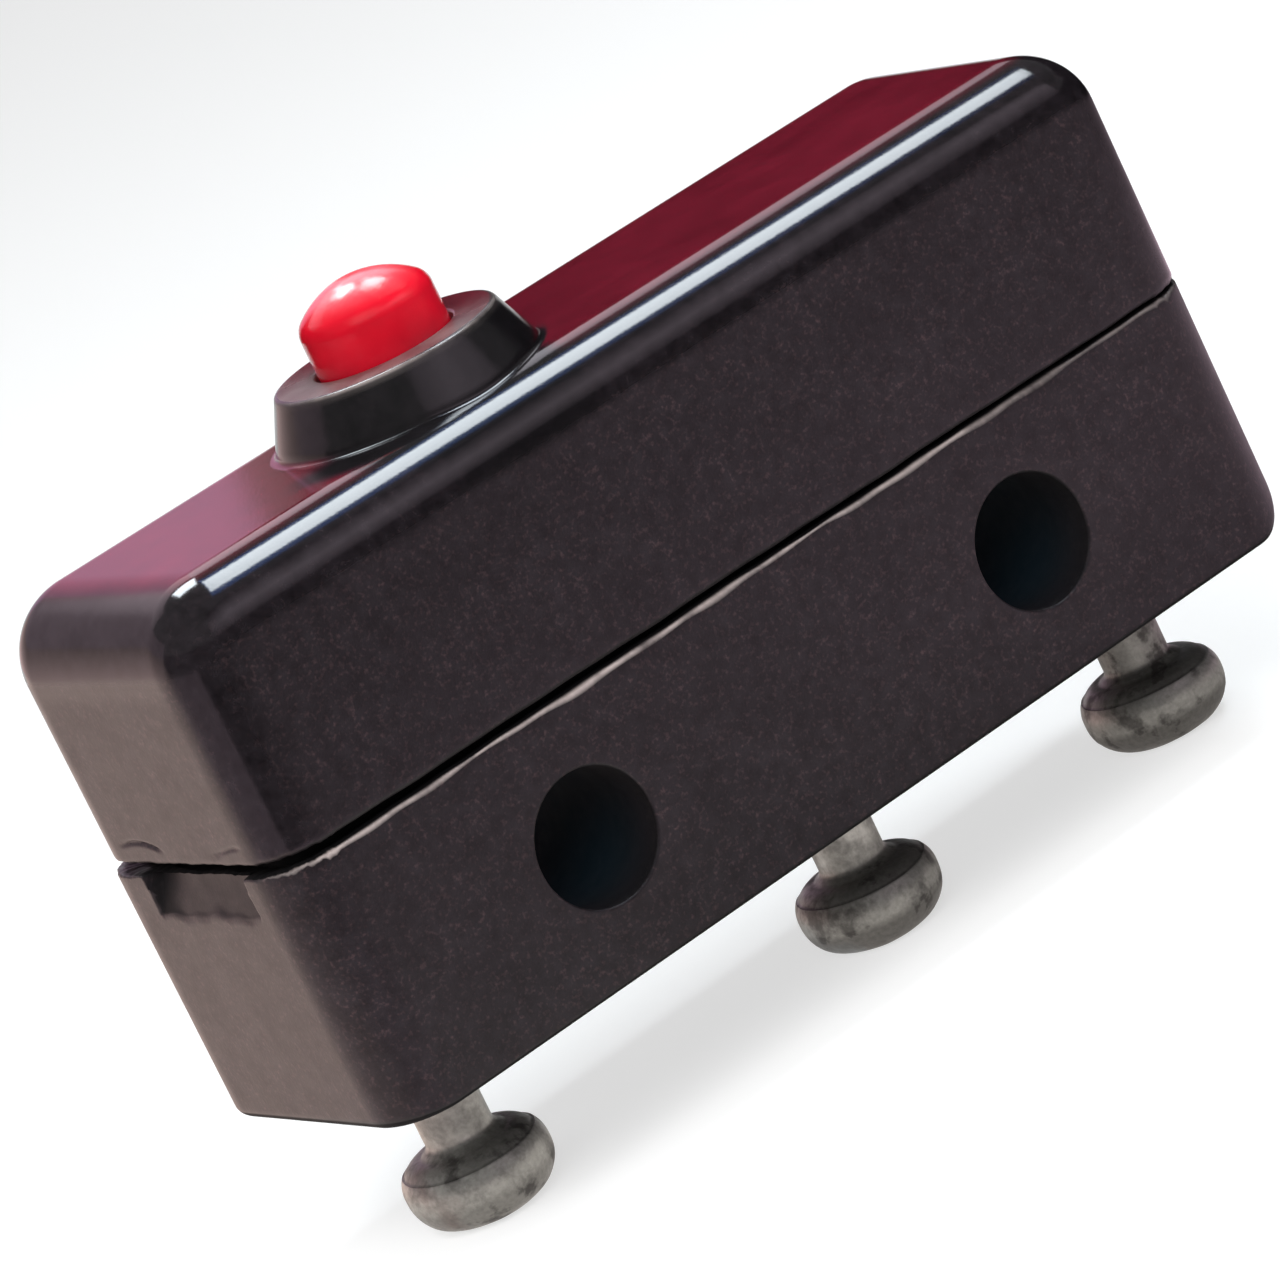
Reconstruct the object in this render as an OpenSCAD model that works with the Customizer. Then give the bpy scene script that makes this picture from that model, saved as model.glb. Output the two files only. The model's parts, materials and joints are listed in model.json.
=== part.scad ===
// Pin plunger snap-action switch: a two-piece moulded case with a contact blade inside.
// Frame: X along the case, Y through its thickness, Z up along the plunger.
// The origin lies midway between the two mounting holes, on the case's middle plane.

/* [Case] */
// Length of the case, end to end
case_length = 19.8; // [18.5:0.1:24]
// Thickness of the case, front face to back face
case_thickness = 6.2; // [5.8:0.1:8]
// Height of the base, underside to outer rim
base_height = 4.44; // [4.35:0.01:5.5]
// Height of the cover, outer rim to top face
cover_height = 4.5; // [4.3:0.05:6]
// Open gap that shows between the two outer rims
parting_gap = 0.16; // [0.06:0.02:0.3]
// Wall thickness of base and cover
wall = 1.1; // [1:0.05:1.25]
// Thickness of the cover's rim outside the base's tongue
rim_lap = 0.5; // [0.35:0.05:0.6]
// Height of the base's tongue inside the cover
tongue_height = 0.45; // [0.3:0.05:0.8]
// Side clearance between tongue and cover
tongue_fit = 0.03; // [0.02:0.01:0.08]
// Round of the edges along the front and back faces
edge_radius = 1.1; // [0.7:0.05:1.2]
// Round of the cover's upper corners, seen from the front
cover_corner_radius = 1.3; // [1.25:0.05:1.8]
// Round of the base's lower corner at the plunger end, seen from the front
near_corner_radius = 0.25; // [0.1:0.05:1.2]
// Round of the base's lower corner at the other end, seen from the front
far_corner_radius = 1; // [0.1:0.05:1.2]
// Round of the cavity's upright corners
cavity_round = 0.3; // [0.1:0.05:0.5]

/* [Mounting holes] */
// Diameter of the two mounting holes
hole_diameter = 2.24; // [2:0.02:2.5]
// Distance between the two mounting holes
hole_pitch = 9.525; // [9:0.025:10.5]
// Height of the hole axes above the underside
hole_height = 2.3; // [2:0.05:2.4]
// Material left between the holes and the cavity floor
hole_web = 0.48; // [0.35:0.02:0.6]

/* [End pockets] */
// Width of the shallow pocket in each end of the base
pocket_width = 3.3; // [2:0.1:3.8]
// Height of the pocket below the base's rim
pocket_height = 0.75; // [0.4:0.05:1.2]
// Depth of the pocket into the end wall
pocket_depth = 0.22; // [0.1:0.02:0.4]
// Round of the pocket's lower corners
pocket_round = 0.15; // [0.05:0.05:0.3]

/* [Plunger and boss] */
// Place of the plunger along the case, from the middle
plunger_x = -2.7; // [-3.4:0.1:-2]
// Diameter of the plunger's shaft
plunger_diameter = 2.3; // [1.8:0.02:2.5]
// Height that the plunger stands above the boss when free
plunger_stand = 1.26; // [0.8:0.02:1.6]
// Round of the plunger's shoulder
plunger_shoulder = 0.35; // [0.2:0.05:0.7]
// Radius of the plunger's domed end
plunger_crown = 1.6; // [1.5:0.1:6]
// Running clearance of the plunger in its bore, on the radius
plunger_fit = 0.05; // [0.03:0.01:0.1]
// Diameter of the flange that keeps the plunger in the cover
flange_diameter = 3.1; // [2.8:0.1:3.4]
// Thickness of the plunger's flange
flange_thickness = 0.5; // [0.3:0.05:0.8]
// Diameter of the plunger's nib that presses the blade
nib_diameter = 1; // [0.8:0.05:1.2]
// Diameter of the boss where it leaves the top face
boss_base_diameter = 4.56; // [4.2:0.02:5]
// Diameter of the boss at its top
boss_top_diameter = 3.9; // [3.3:0.05:4.1]
// Height of the boss above the top face
boss_height = 0.92; // [0.6:0.02:1.4]
// Chamfer of the boss's upper edge
boss_chamfer = 0.08; // [0.04:0.01:0.15]

/* [Terminals] */
// Distance of the common terminal from the plunger end of the case
common_inset = 2.25; // [2:0.05:2.4]
// Place of the normally open terminal along the case, from the middle
open_x = 0.95; // [0:0.05:1.6]
// Distance of the normally closed terminal from the other end of the case
closed_inset = 2.3; // [2:0.05:2.4]
// Diameter of the terminal stems
stem_diameter = 1.18; // [1:0.02:1.3]
// Length of bare stem below the case
stem_length = 1.5; // [1:0.05:2.5]
// Diameter of the terminal heads
head_diameter = 2.56; // [2.2:0.02:3]
// Height of the sloped upper face of a head
head_slope = 0.06; // [0.02:0.02:0.7]
// Total height of a head
head_height = 1.32; // [1.25:0.01:1.8]
// Round of a head's upper edge
head_upper_round = 0.52; // [0.05:0.01:0.55]
// Round of a head's lower edge
head_lower_round = 0.68; // [0.3:0.02:0.8]
// Diameter of the collar that anchors a terminal inside the base
collar_diameter = 1.7; // [1.5:0.05:1.9]
// Height of that collar
collar_height = 0.6; // [0.4:0.05:0.9]
// Clearance between a terminal and the base, on the radius
terminal_fit = 0.02; // [0.01:0.01:0.04]
// Diameter of the riveted tenon above the cavity floor
tenon_diameter = 0.84; // [0.6:0.02:0.9]
// Diameter of the riveted end of a tenon
rivet_diameter = 1.5; // [1.2:0.05:1.6]
// Height of the riveted end of a tenon
rivet_height = 0.25; // [0.2:0.05:0.35]
// Chamfer of the riveted end
rivet_bevel = 0.08; // [0.04:0.01:0.12]

/* [Contacts] */
// Thickness of the fixed contact strips
strip_thickness = 0.2; // [0.15:0.01:0.25]
// Width of the fixed contact strips
strip_width = 1.8; // [1.6:0.05:2.2]
// Diameter of the contacts
contact_diameter = 1.2; // [1:0.05:1.4]
// Height of a contact above its strip or blade
contact_height = 0.3; // [0.25:0.01:0.35]
// Chamfer of a contact's face
contact_bevel = 0.1; // [0.05:0.01:0.15]
// Diameter of the moving contact's shank through the blade
shank_diameter = 0.6; // [0.4:0.05:0.8]
// Strip left past a contact or a riveted end
strip_margin = 0.1; // [0.05:0.05:0.2]
// Distance of the contacts from the normally closed terminal
contact_reach = 2; // [1.8:0.05:2.4]
// Open gap between moving contact and normally open contact
contact_gap = 0.3; // [0.2:0.01:0.4]
// Clearance left between faces that meet when a contact closes
contact_touch = 0.02; // [0.01:0.005:0.03]
// Gap between the closed bracket and the cavity's end wall
bracket_gap = 0.25; // [0.1:0.05:0.4]

/* [Snap blade] */
// Thickness of the blade
blade_thickness = 0.1; // [0.08:0.01:0.14]
// Width of the blade over its two bowed legs
blade_width = 3; // [2.7:0.05:3.2]
// Width of the blade's middle tongue
blade_tongue = 1; // [0.9:0.05:1.3]
// Width of each bowed leg
leg_width = 0.7; // [0.5:0.05:0.75]
// Distance of the legs' roots from the contacts
leg_root = 2.6; // [1.5:0.1:3]
// Distance of the legs' tips from the common terminal
leg_reach = 3.2; // [2.6:0.1:3.6]
// Drop of the legs' tips below the blade
leg_drop = 0.4; // [0.3:0.05:0.5]
// Bow of each leg above the line from its root to its tip
leg_bow = 0.8; // [0.4:0.05:1]
// Length of blade past the contacts
blade_nose = 0.8; // [0.65:0.05:0.8]
// Blade left beside the contact, on each side
nose_margin = 0.25; // [0.1:0.05:0.4]
// Length of each bracket ear behind the legs' tips
ear_length = 0.4; // [0.3:0.05:0.6]
// Length of each bracket ear past the legs' tips
ear_lip = 0.12; // [0.08:0.01:0.2]
// Height left between the bracket's ears and the blade
ear_clearance = 0.2; // [0.1:0.05:0.3]
// Depth of the notch behind each leg's tip
notch_depth = 0.12; // [0.08:0.01:0.2]
// Diameter of the spacer and washer that clamp the blade
clamp_diameter = 1.9; // [1.6:0.05:2]
// Thickness of the clamp washer
washer_thickness = 0.2; // [0.15:0.05:0.3]
// Clearance between the blade and what holds it
blade_fit = 0.01; // [0.005:0.005:0.02]

/* [Hidden] */
$fn = 72;
// Overshoot of cutting shapes past the faces that they cut
cut = 0.5;

// Heights
underside_z = -hole_height;
base_rim_z = underside_z + base_height;
cover_rim_z = base_rim_z + parting_gap;
seat_z = cover_rim_z + tongue_height;
top_z = cover_rim_z + cover_height;
ceiling_z = top_z - wall;
floor_z = hole_diameter / 2 + hole_web;
boss_top_z = top_z + boss_height;
plunger_top_z = boss_top_z + plunger_stand;
open_face_z = floor_z + strip_thickness + contact_height;
blade_z = open_face_z + contact_gap + contact_height;
blade_top_z = blade_z + blade_thickness;
closed_face_z = blade_top_z + contact_height + contact_touch;
closed_arm_z = closed_face_z + contact_height;
flange_top_z = ceiling_z - plunger_fit;
clamp_top_z = blade_top_z + blade_fit + washer_thickness;

// Places along the case
common_x = common_inset - case_length / 2;
closed_x = case_length / 2 - closed_inset;
contact_x = closed_x - contact_reach;
leg_root_x = contact_x - leg_root;
leg_tip_x = common_x + leg_reach;
cavity_end_x = case_length / 2 - wall;
bracket_end_x = cavity_end_x - bracket_gap;

// The corner round stays larger than the edge round that is carried over it
least_corner_margin = 0.05;
cover_round = max(cover_corner_radius, edge_radius + least_corner_margin);

// A head's lower round leaves a short upright rim below its upper round
least_head_rim = 0.02;
head_lower = min(head_lower_round, head_height - head_slope - head_upper_round - least_head_rim);

// Radii
plunger_r = plunger_diameter / 2;
stem_r = stem_diameter / 2;
tenon_r = tenon_diameter / 2;
contact_r = contact_diameter / 2;
shank_r = shank_diameter / 2;

// Blade details
leg_y = blade_width / 2 - leg_width / 2;
nose_width = contact_diameter + 2 * nose_margin;
strip_end = contact_r + strip_margin;
strip_tail = rivet_diameter / 2 + strip_margin;

// Flat rectangle about the origin with four round corners
module rounded_rect(length, width, r) {
    square([length - 2 * r, width], center = true);
    square([length, width - 2 * r], center = true);
    for (sx = [-1, 1], sy = [-1, 1])
        translate([sx * (length / 2 - r), sy * (width / 2 - r)])
            circle(r);
}

// Flat rectangle from the Y axis out to reach, with its two outer corners round
module outer_rounded(reach, width, r) {
    intersection() {
        union() {
            translate([0, -width / 2])
                square([reach - r, width]);
            translate([0, r - width / 2])
                square([reach, width - 2 * r]);
            for (side = [-1, 1])
                translate([reach - r, side * (width / 2 - r)])
                    circle(r);
        }
        translate([0, -width / 2])
            square([reach, width]);
    }
}

// Plan outline of the case, moved in by an inset
module case_plan(inset) {
    rounded_rect(case_length - 2 * inset, case_thickness - 2 * inset, max(edge_radius - inset, cavity_round));
}

// Flat outline in X and Z carried through the thickness, centred on the middle plane
module across(width) {
    rotate([90, 0, 0])
        linear_extrude(width, center = true)
            children();
}

// Outer form of the cover: one edge profile carried along both ends and over the top
module cover_form() {
    straight = case_length - 2 * cover_round;
    translate([-straight / 2, 0, cover_rim_z])
        rotate([90, 0, 90])
            linear_extrude(straight)
                rotate(90)
                    outer_rounded(cover_height, case_thickness, edge_radius);
    for (side = [0, 1])
        mirror([side, 0, 0])
            translate([straight / 2, 0, cover_rim_z]) {
                linear_extrude(cover_height - cover_round)
                    outer_rounded(cover_round, case_thickness, edge_radius);
                translate([0, 0, cover_height - cover_round])
                    rotate([90, 0, 0])
                        rotate_extrude(angle = 90)
                            outer_rounded(cover_round, case_thickness, edge_radius);
            }
}

// Waste outside a round lower left corner at the origin
module corner_waste(r) {
    difference() {
        translate([-cut, -cut])
            square(r + cut);
        translate([r, r])
            circle(r);
    }
}

// Outer form of the base: plan outline with a round lower corner at each end
module base_form() {
    difference() {
        translate([0, 0, underside_z])
            linear_extrude(base_height)
                case_plan(0);
        across(case_thickness + 2 * cut) {
            translate([-case_length / 2, underside_z])
                corner_waste(near_corner_radius);
            translate([case_length / 2, underside_z])
                mirror([1, 0])
                    corner_waste(far_corner_radius);
        }
    }
}

// Round boss that guides the plunger, with its wall carried down to the edge round
module boss() {
    taper = (boss_base_diameter - boss_top_diameter) / 2 / boss_height;
    root = edge_radius / 3;
    translate([plunger_x, 0, top_z - root])
        cylinder(
            h = root + boss_height - boss_chamfer,
            r1 = boss_base_diameter / 2 + root * taper,
            r2 = boss_top_diameter / 2 + boss_chamfer * taper
        );
    translate([plunger_x, 0, boss_top_z - boss_chamfer])
        cylinder(
            h = boss_chamfer,
            r1 = boss_top_diameter / 2 + boss_chamfer * taper,
            r2 = boss_top_diameter / 2 - boss_chamfer
        );
}

// Space in the base for one terminal's stem and collar
module terminal_space(x) {
    translate([x, 0, underside_z - cut])
        cylinder(h = floor_z - underside_z + 2 * cut, r = stem_r + terminal_fit);
    translate([x, 0, -collar_height / 2 - terminal_fit])
        cylinder(h = collar_height + 2 * terminal_fit, r = collar_diameter / 2 + terminal_fit);
}

// Shallow pocket at the upper edge of the base's plus X end
module end_pocket() {
    translate([case_length / 2 - pocket_depth, 0, base_rim_z])
        rotate([90, 0, 90])
            linear_extrude(pocket_depth + cut)
                rotate(-90)
                    translate([-cut, 0])
                        outer_rounded(pocket_height + cut, pocket_width, pocket_round);
}

// Half outline of a terminal head, hanging from the end of its stem
module head_outline() {
    r = head_diameter / 2;
    intersection() {
        union() {
            polygon([
                [0, 0],
                [stem_r, 0],
                [r - head_upper_round, -head_slope],
                [r, -head_slope - head_upper_round],
                [r, head_lower - head_height],
                [r - head_lower, -head_height],
                [0, -head_height]
            ]);
            translate([r - head_upper_round, -head_slope - head_upper_round])
                circle(head_upper_round);
            translate([r - head_lower, head_lower - head_height])
                circle(head_lower);
        }
        translate([0, -head_height - cut])
            square([r + cut, head_height + 2 * cut]);
    }
}

// Round button with a chamfered face, standing on the XY plane
module button(r, height, bevel) {
    cylinder(h = height - bevel, r = r);
    translate([0, 0, height - bevel])
        cylinder(h = bevel, r1 = r, r2 = r - bevel);
}

// Turned terminal: head, stem, collar in the base, tenon and riveted end
module terminal(x, tenon_top) {
    color("gray")
        translate([x, 0, 0]) {
            translate([0, 0, underside_z - stem_length])
                rotate_extrude()
                    head_outline();
            translate([0, 0, underside_z - stem_length])
                cylinder(h = stem_length + floor_z - underside_z, r = stem_r);
            translate([0, 0, -collar_height / 2])
                cylinder(h = collar_height, r = collar_diameter / 2);
            translate([0, 0, floor_z])
                cylinder(h = tenon_top - floor_z, r = tenon_r);
            translate([0, 0, tenon_top])
                button(rivet_diameter / 2, rivet_height, rivet_bevel);
        }
}

// Flat strip lying in the XY plane between two places along X, with a hole for a tenon
module strip(x_from, x_to, width, hole_x) {
    linear_extrude(strip_thickness)
        difference() {
            translate([x_from, -width / 2])
                square([x_to - x_from, width]);
            translate([hole_x, 0])
                circle(tenon_r);
        }
}

// Half outline of the plunger: dome, shoulder, shaft, flange and nib
module plunger_outline() {
    arm = plunger_r - plunger_shoulder;
    dome_rise = sqrt(pow(plunger_crown - plunger_shoulder, 2) - pow(arm, 2));
    dome_z = plunger_top_z - plunger_crown;
    shoulder_z = dome_z + dome_rise;
    reach = 2 * plunger_crown;
    translate([0, flange_top_z])
        square([plunger_r, shoulder_z - flange_top_z]);
    translate([0, shoulder_z])
        intersection() {
            translate([arm, 0])
                circle(plunger_shoulder);
            square([plunger_r, plunger_shoulder]);
        }
    translate([0, dome_z])
        intersection() {
            circle(plunger_crown);
            polygon([[0, 0], [0, reach], [arm * reach / dome_rise, reach]]);
        }
    translate([0, flange_top_z - flange_thickness])
        square([flange_diameter / 2, flange_thickness]);
    translate([0, blade_top_z + contact_touch])
        square([nib_diameter / 2, flange_top_z - flange_thickness - blade_top_z - contact_touch]);
}

// Curved strip in X and Z from one point to another, bowed up from the straight line
module bowed_strip(x_from, z_from, x_to, z_to, bow, thickness) {
    span = norm([x_to - x_from, z_to - z_from]);
    r = (span * span / 4 + bow * bow) / (2 * bow);
    translate([(x_from + x_to) / 2, (z_from + z_to) / 2])
        rotate(atan2(z_to - z_from, x_to - x_from))
            intersection() {
                translate([0, bow - r])
                    difference() {
                        circle(r + thickness / 2);
                        circle(r - thickness / 2);
                    }
                translate([-span / 2, -thickness])
                    square([span, bow + 2 * thickness]);
            }
}

// Moulded base with cavity, tongue, mounting holes, terminal spaces and end pockets
module base_housing() {
    color("#3b3134")
        difference() {
            union() {
                base_form();
                translate([0, 0, floor_z])
                    linear_extrude(seat_z - floor_z)
                        case_plan(rim_lap + tongue_fit);
            }
            translate([0, 0, floor_z])
                linear_extrude(seat_z - floor_z + cut)
                    case_plan(wall);
            for (side = [-1, 1])
                translate([side * hole_pitch / 2, 0, 0])
                    rotate([90, 0, 0])
                        cylinder(h = case_thickness + 2 * cut, d = hole_diameter, center = true);
            for (x = [common_x, open_x, closed_x])
                terminal_space(x);
            for (side = [0, 1])
                mirror([side, 0, 0])
                    end_pocket();
        }
}

// Moulded cover with its cavity, the lap over the base's tongue and the plunger's boss
module cover_housing() {
    color("#40262f")
        difference() {
            union() {
                cover_form();
                boss();
            }
            translate([0, 0, cover_rim_z - cut])
                linear_extrude(seat_z - cover_rim_z + cut)
                    case_plan(rim_lap);
            translate([0, 0, cover_rim_z])
                linear_extrude(ceiling_z - cover_rim_z)
                    case_plan(wall);
            translate([plunger_x, 0, ceiling_z - cut])
                cylinder(h = wall + boss_height + 2 * cut, r = plunger_r + plunger_fit);
        }
}

// Moulded plunger
module plunger() {
    color("#d81f33")
        translate([plunger_x, 0, 0])
            rotate_extrude()
                plunger_outline();
}

module common_terminal() {
    terminal(common_x, clamp_top_z);
}

module normally_open_terminal() {
    terminal(open_x, floor_z + strip_thickness);
}

module normally_closed_terminal() {
    terminal(closed_x, floor_z + strip_thickness);
}

// Formed bracket on the common terminal, with two notched ears for the blade's legs
module anchor_bracket() {
    ear_height = blade_z - ear_clearance - floor_z;
    notch_x = leg_tip_x - notch_depth;
    notch_z = blade_z - leg_drop;
    mouth_x = leg_tip_x + 2 * ear_lip;
    mouth = mouth_x - notch_x;
    color("goldenrod")
        difference() {
            union() {
                translate([0, 0, floor_z])
                    strip(common_x - strip_tail, leg_tip_x + ear_lip, blade_width, common_x);
                for (side = [-1, 1])
                    translate([leg_tip_x - ear_length, side * leg_y - leg_width / 2, floor_z])
                        cube([ear_length + ear_lip, leg_width, ear_height]);
            }
            across(blade_width + cut)
                polygon([[notch_x, notch_z], [mouth_x, notch_z + mouth], [mouth_x, notch_z - mouth]]);
        }
}

// Turned spacer between the anchor bracket and the blade
module spring_spacer() {
    spacer_z = floor_z + strip_thickness;
    color("tan")
        translate([common_x, 0, spacer_z])
            difference() {
                cylinder(h = blade_z - blade_fit - spacer_z, d = clamp_diameter);
                translate([0, 0, -cut])
                    cylinder(h = blade_z - spacer_z + 2 * cut, r = tenon_r);
            }
}

// One-piece blade: middle tongue in tension, two bowed legs and a nose for the contact
module snap_spring() {
    color("darkgoldenrod") {
        translate([0, 0, blade_z])
            linear_extrude(blade_thickness)
                difference() {
                    union() {
                        translate([common_x - strip_tail, -blade_tongue / 2])
                            square([contact_x - common_x + strip_tail, blade_tongue]);
                        polygon([
                            [leg_root_x, blade_width / 2],
                            [leg_root_x, -blade_width / 2],
                            [leg_root_x + leg_root / 2, -blade_width / 2],
                            [contact_x, -nose_width / 2],
                            [contact_x + blade_nose, -nose_width / 2],
                            [contact_x + blade_nose, nose_width / 2],
                            [contact_x, nose_width / 2],
                            [leg_root_x + leg_root / 2, blade_width / 2]
                        ]);
                        translate([common_x, 0])
                            circle(d = clamp_diameter);
                    }
                    translate([common_x, 0])
                        circle(tenon_r + blade_fit);
                    translate([contact_x, 0])
                        circle(shank_r);
                }
        for (side = [-1, 1])
            translate([0, side * leg_y, 0])
                across(leg_width)
                    bowed_strip(
                        leg_tip_x, blade_z - leg_drop,
                        leg_root_x, blade_z + blade_thickness / 2,
                        leg_bow, blade_thickness
                    );
    }
}

// Washer under the riveted end of the common terminal
module clamp_washer() {
    color("silver")
        translate([common_x, 0, blade_top_z + blade_fit])
            difference() {
                cylinder(h = washer_thickness, d = clamp_diameter);
                translate([0, 0, -cut])
                    cylinder(h = washer_thickness + 2 * cut, r = tenon_r);
            }
}

// Double-faced contact riveted through the blade's nose
module moving_contact() {
    color("lightgray")
        translate([contact_x, 0, 0]) {
            translate([0, 0, blade_top_z])
                button(contact_r, contact_height, contact_bevel);
            translate([0, 0, blade_z])
                cylinder(h = blade_thickness, r = shank_r);
            translate([0, 0, blade_z])
                mirror([0, 0, 1])
                    button(contact_r, contact_height, contact_bevel);
        }
}

// Flat strip from the normally open terminal to its contact
module normally_open_strip() {
    color("goldenrod")
        translate([0, 0, floor_z])
            strip(open_x - strip_tail, contact_x + strip_end, strip_width, open_x);
}

module normally_open_contact() {
    color("lightgray")
        translate([contact_x, 0, floor_z + strip_thickness])
            button(contact_r, contact_height, contact_bevel);
}

// Formed bracket from the normally closed terminal up and over the moving contact
module normally_closed_bracket() {
    color("goldenrod") {
        translate([0, 0, floor_z])
            strip(closed_x - strip_tail, bracket_end_x, strip_width, closed_x);
        translate([bracket_end_x - strip_thickness, -strip_width / 2, floor_z])
            cube([strip_thickness, strip_width, closed_arm_z + strip_thickness - floor_z]);
        translate([contact_x - strip_end, -strip_width / 2, closed_arm_z])
            cube([bracket_end_x - contact_x + strip_end, strip_width, strip_thickness]);
    }
}

module normally_closed_contact() {
    color("lightgray")
        translate([contact_x, 0, closed_arm_z])
            mirror([0, 0, 1])
                button(contact_r, contact_height, contact_bevel);
}

base_housing();
cover_housing();
plunger();
common_terminal();
normally_open_terminal();
normally_closed_terminal();
anchor_bracket();
spring_spacer();
snap_spring();
clamp_washer();
moving_contact();
normally_open_strip();
normally_open_contact();
normally_closed_bracket();
normally_closed_contact();
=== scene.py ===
"""Looks of a pin plunger micro switch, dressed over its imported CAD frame."""
import json
import math

import bpy
import numpy as np
from mathutils import Matrix, Vector


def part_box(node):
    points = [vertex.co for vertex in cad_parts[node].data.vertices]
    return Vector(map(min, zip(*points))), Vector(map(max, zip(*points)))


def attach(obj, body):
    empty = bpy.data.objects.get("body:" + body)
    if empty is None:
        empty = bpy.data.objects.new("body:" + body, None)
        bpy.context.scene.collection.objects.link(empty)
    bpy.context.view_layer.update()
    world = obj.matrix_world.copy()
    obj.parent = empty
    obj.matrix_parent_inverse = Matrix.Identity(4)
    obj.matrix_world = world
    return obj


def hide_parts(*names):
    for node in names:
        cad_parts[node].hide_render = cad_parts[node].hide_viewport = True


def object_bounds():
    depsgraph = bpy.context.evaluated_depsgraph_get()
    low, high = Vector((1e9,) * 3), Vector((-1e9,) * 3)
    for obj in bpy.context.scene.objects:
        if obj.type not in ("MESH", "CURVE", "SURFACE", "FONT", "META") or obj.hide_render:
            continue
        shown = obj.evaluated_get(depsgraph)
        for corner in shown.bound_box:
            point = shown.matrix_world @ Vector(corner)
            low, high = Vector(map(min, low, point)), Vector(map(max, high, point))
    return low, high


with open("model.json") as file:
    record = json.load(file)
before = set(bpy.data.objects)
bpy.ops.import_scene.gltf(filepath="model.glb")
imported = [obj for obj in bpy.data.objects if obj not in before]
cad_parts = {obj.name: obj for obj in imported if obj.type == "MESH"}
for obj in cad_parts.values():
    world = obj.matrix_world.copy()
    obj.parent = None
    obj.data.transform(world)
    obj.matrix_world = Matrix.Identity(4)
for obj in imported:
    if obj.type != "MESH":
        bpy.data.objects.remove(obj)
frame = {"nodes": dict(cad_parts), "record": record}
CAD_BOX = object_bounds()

bl_info = {
    "name": "Plunger switch looks",
    "version": (1, 0, 0),
    "blender": (4, 5, 0),
    "location": "View3D > Sidebar > Switch",
    "description": "Moulded case, plunger and terminals of a micro switch, with its studio stage",
    "category": "Object",
}

TURN = 2 * math.pi
QUARTER = math.pi / 2
SIDES = 8  # four sides and four corner arcs of a rounded rectangle
WHITE = (1.0, 1.0, 1.0)
CARD_REACH = 0.09  # distance of the cards from the case
CARD_EYE = 0.0068  # height that the cards' elevations are measured from
SHARP_CASE = math.radians(50)  # edges of the moulded pieces that turn by more stay crisp
SHARP_POST = math.radians(55)  # the same for the posts
COVER_STEP = 0.00035  # distance between the cover's columns where nothing asks for more
BASE_STEP = 0.00015  # the same for the base
SPLIT_HEIGHT = 0.00016  # split between the two halves
HOLE_PATCH = 0.0015  # half the width of the wall's patch around a mounting hole
AXIS_GAP = 0.00003  # radius of the small face that closes a turned piece at its axis
CORNER_GLOSS = 0.85  # polish of the upright corners
BOSS_SHADE = 0.6  # how dark the painted shade on the boss's side and on the top in front of it is
# Marks on each point: crown (red-brown, partly a painted reflection), gloss, wear with painted highlights and
# shade, and painted shade
SURFACE_MARKS = ("crown", "gloss", "wear_and_painted_light", "painted_shade")
CROWN, WEAR_AND_PAINTED_LIGHT, PAINTED_SHADE = 0, 2, 3  # their columns
POST_LOOKS = {  # phase of each post's unevenness, and how dark its head and its stem are made; the head's number also scales the painted shade on the head
    "common": (1.3, 0.15, 0.0),
    "normally_open": (3.0, 0.38, 0.05),
    "normally_closed": (4.7, 0.42, 0.6),
}
SENSOR_WIDTH = 36  # millimetres, for the lens that the camera was fitted with
PLUM_GLOW = (1.0, 0.74, 0.87)
BEIGE_GLOW = (1.0, 0.77, 0.69)
COOL_GLOW = (0.86, 0.94, 1.0)


def length(name, description, millimetres):
    """A length in metres, given in millimetres."""
    return bpy.props.FloatProperty(
        name=name, description=description, default=millimetres * 0.001, unit="LENGTH", precision=5)


def colour(name, description, value):
    """A colour in linear red, green and blue."""
    return bpy.props.FloatVectorProperty(
        name=name, description=description, default=value, subtype="COLOR", size=3, min=0, max=1)


def share(name, description, value):
    """A plain number from nothing to one, such as a roughness."""
    return bpy.props.FloatProperty(
        name=name, description=description, default=value, subtype="FACTOR", min=0, max=1)


def level(name, description, value):
    """A plain brightness, where 1 is the white of a sheet in full light."""
    return bpy.props.FloatProperty(name=name, description=description, default=value, min=0)


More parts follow.
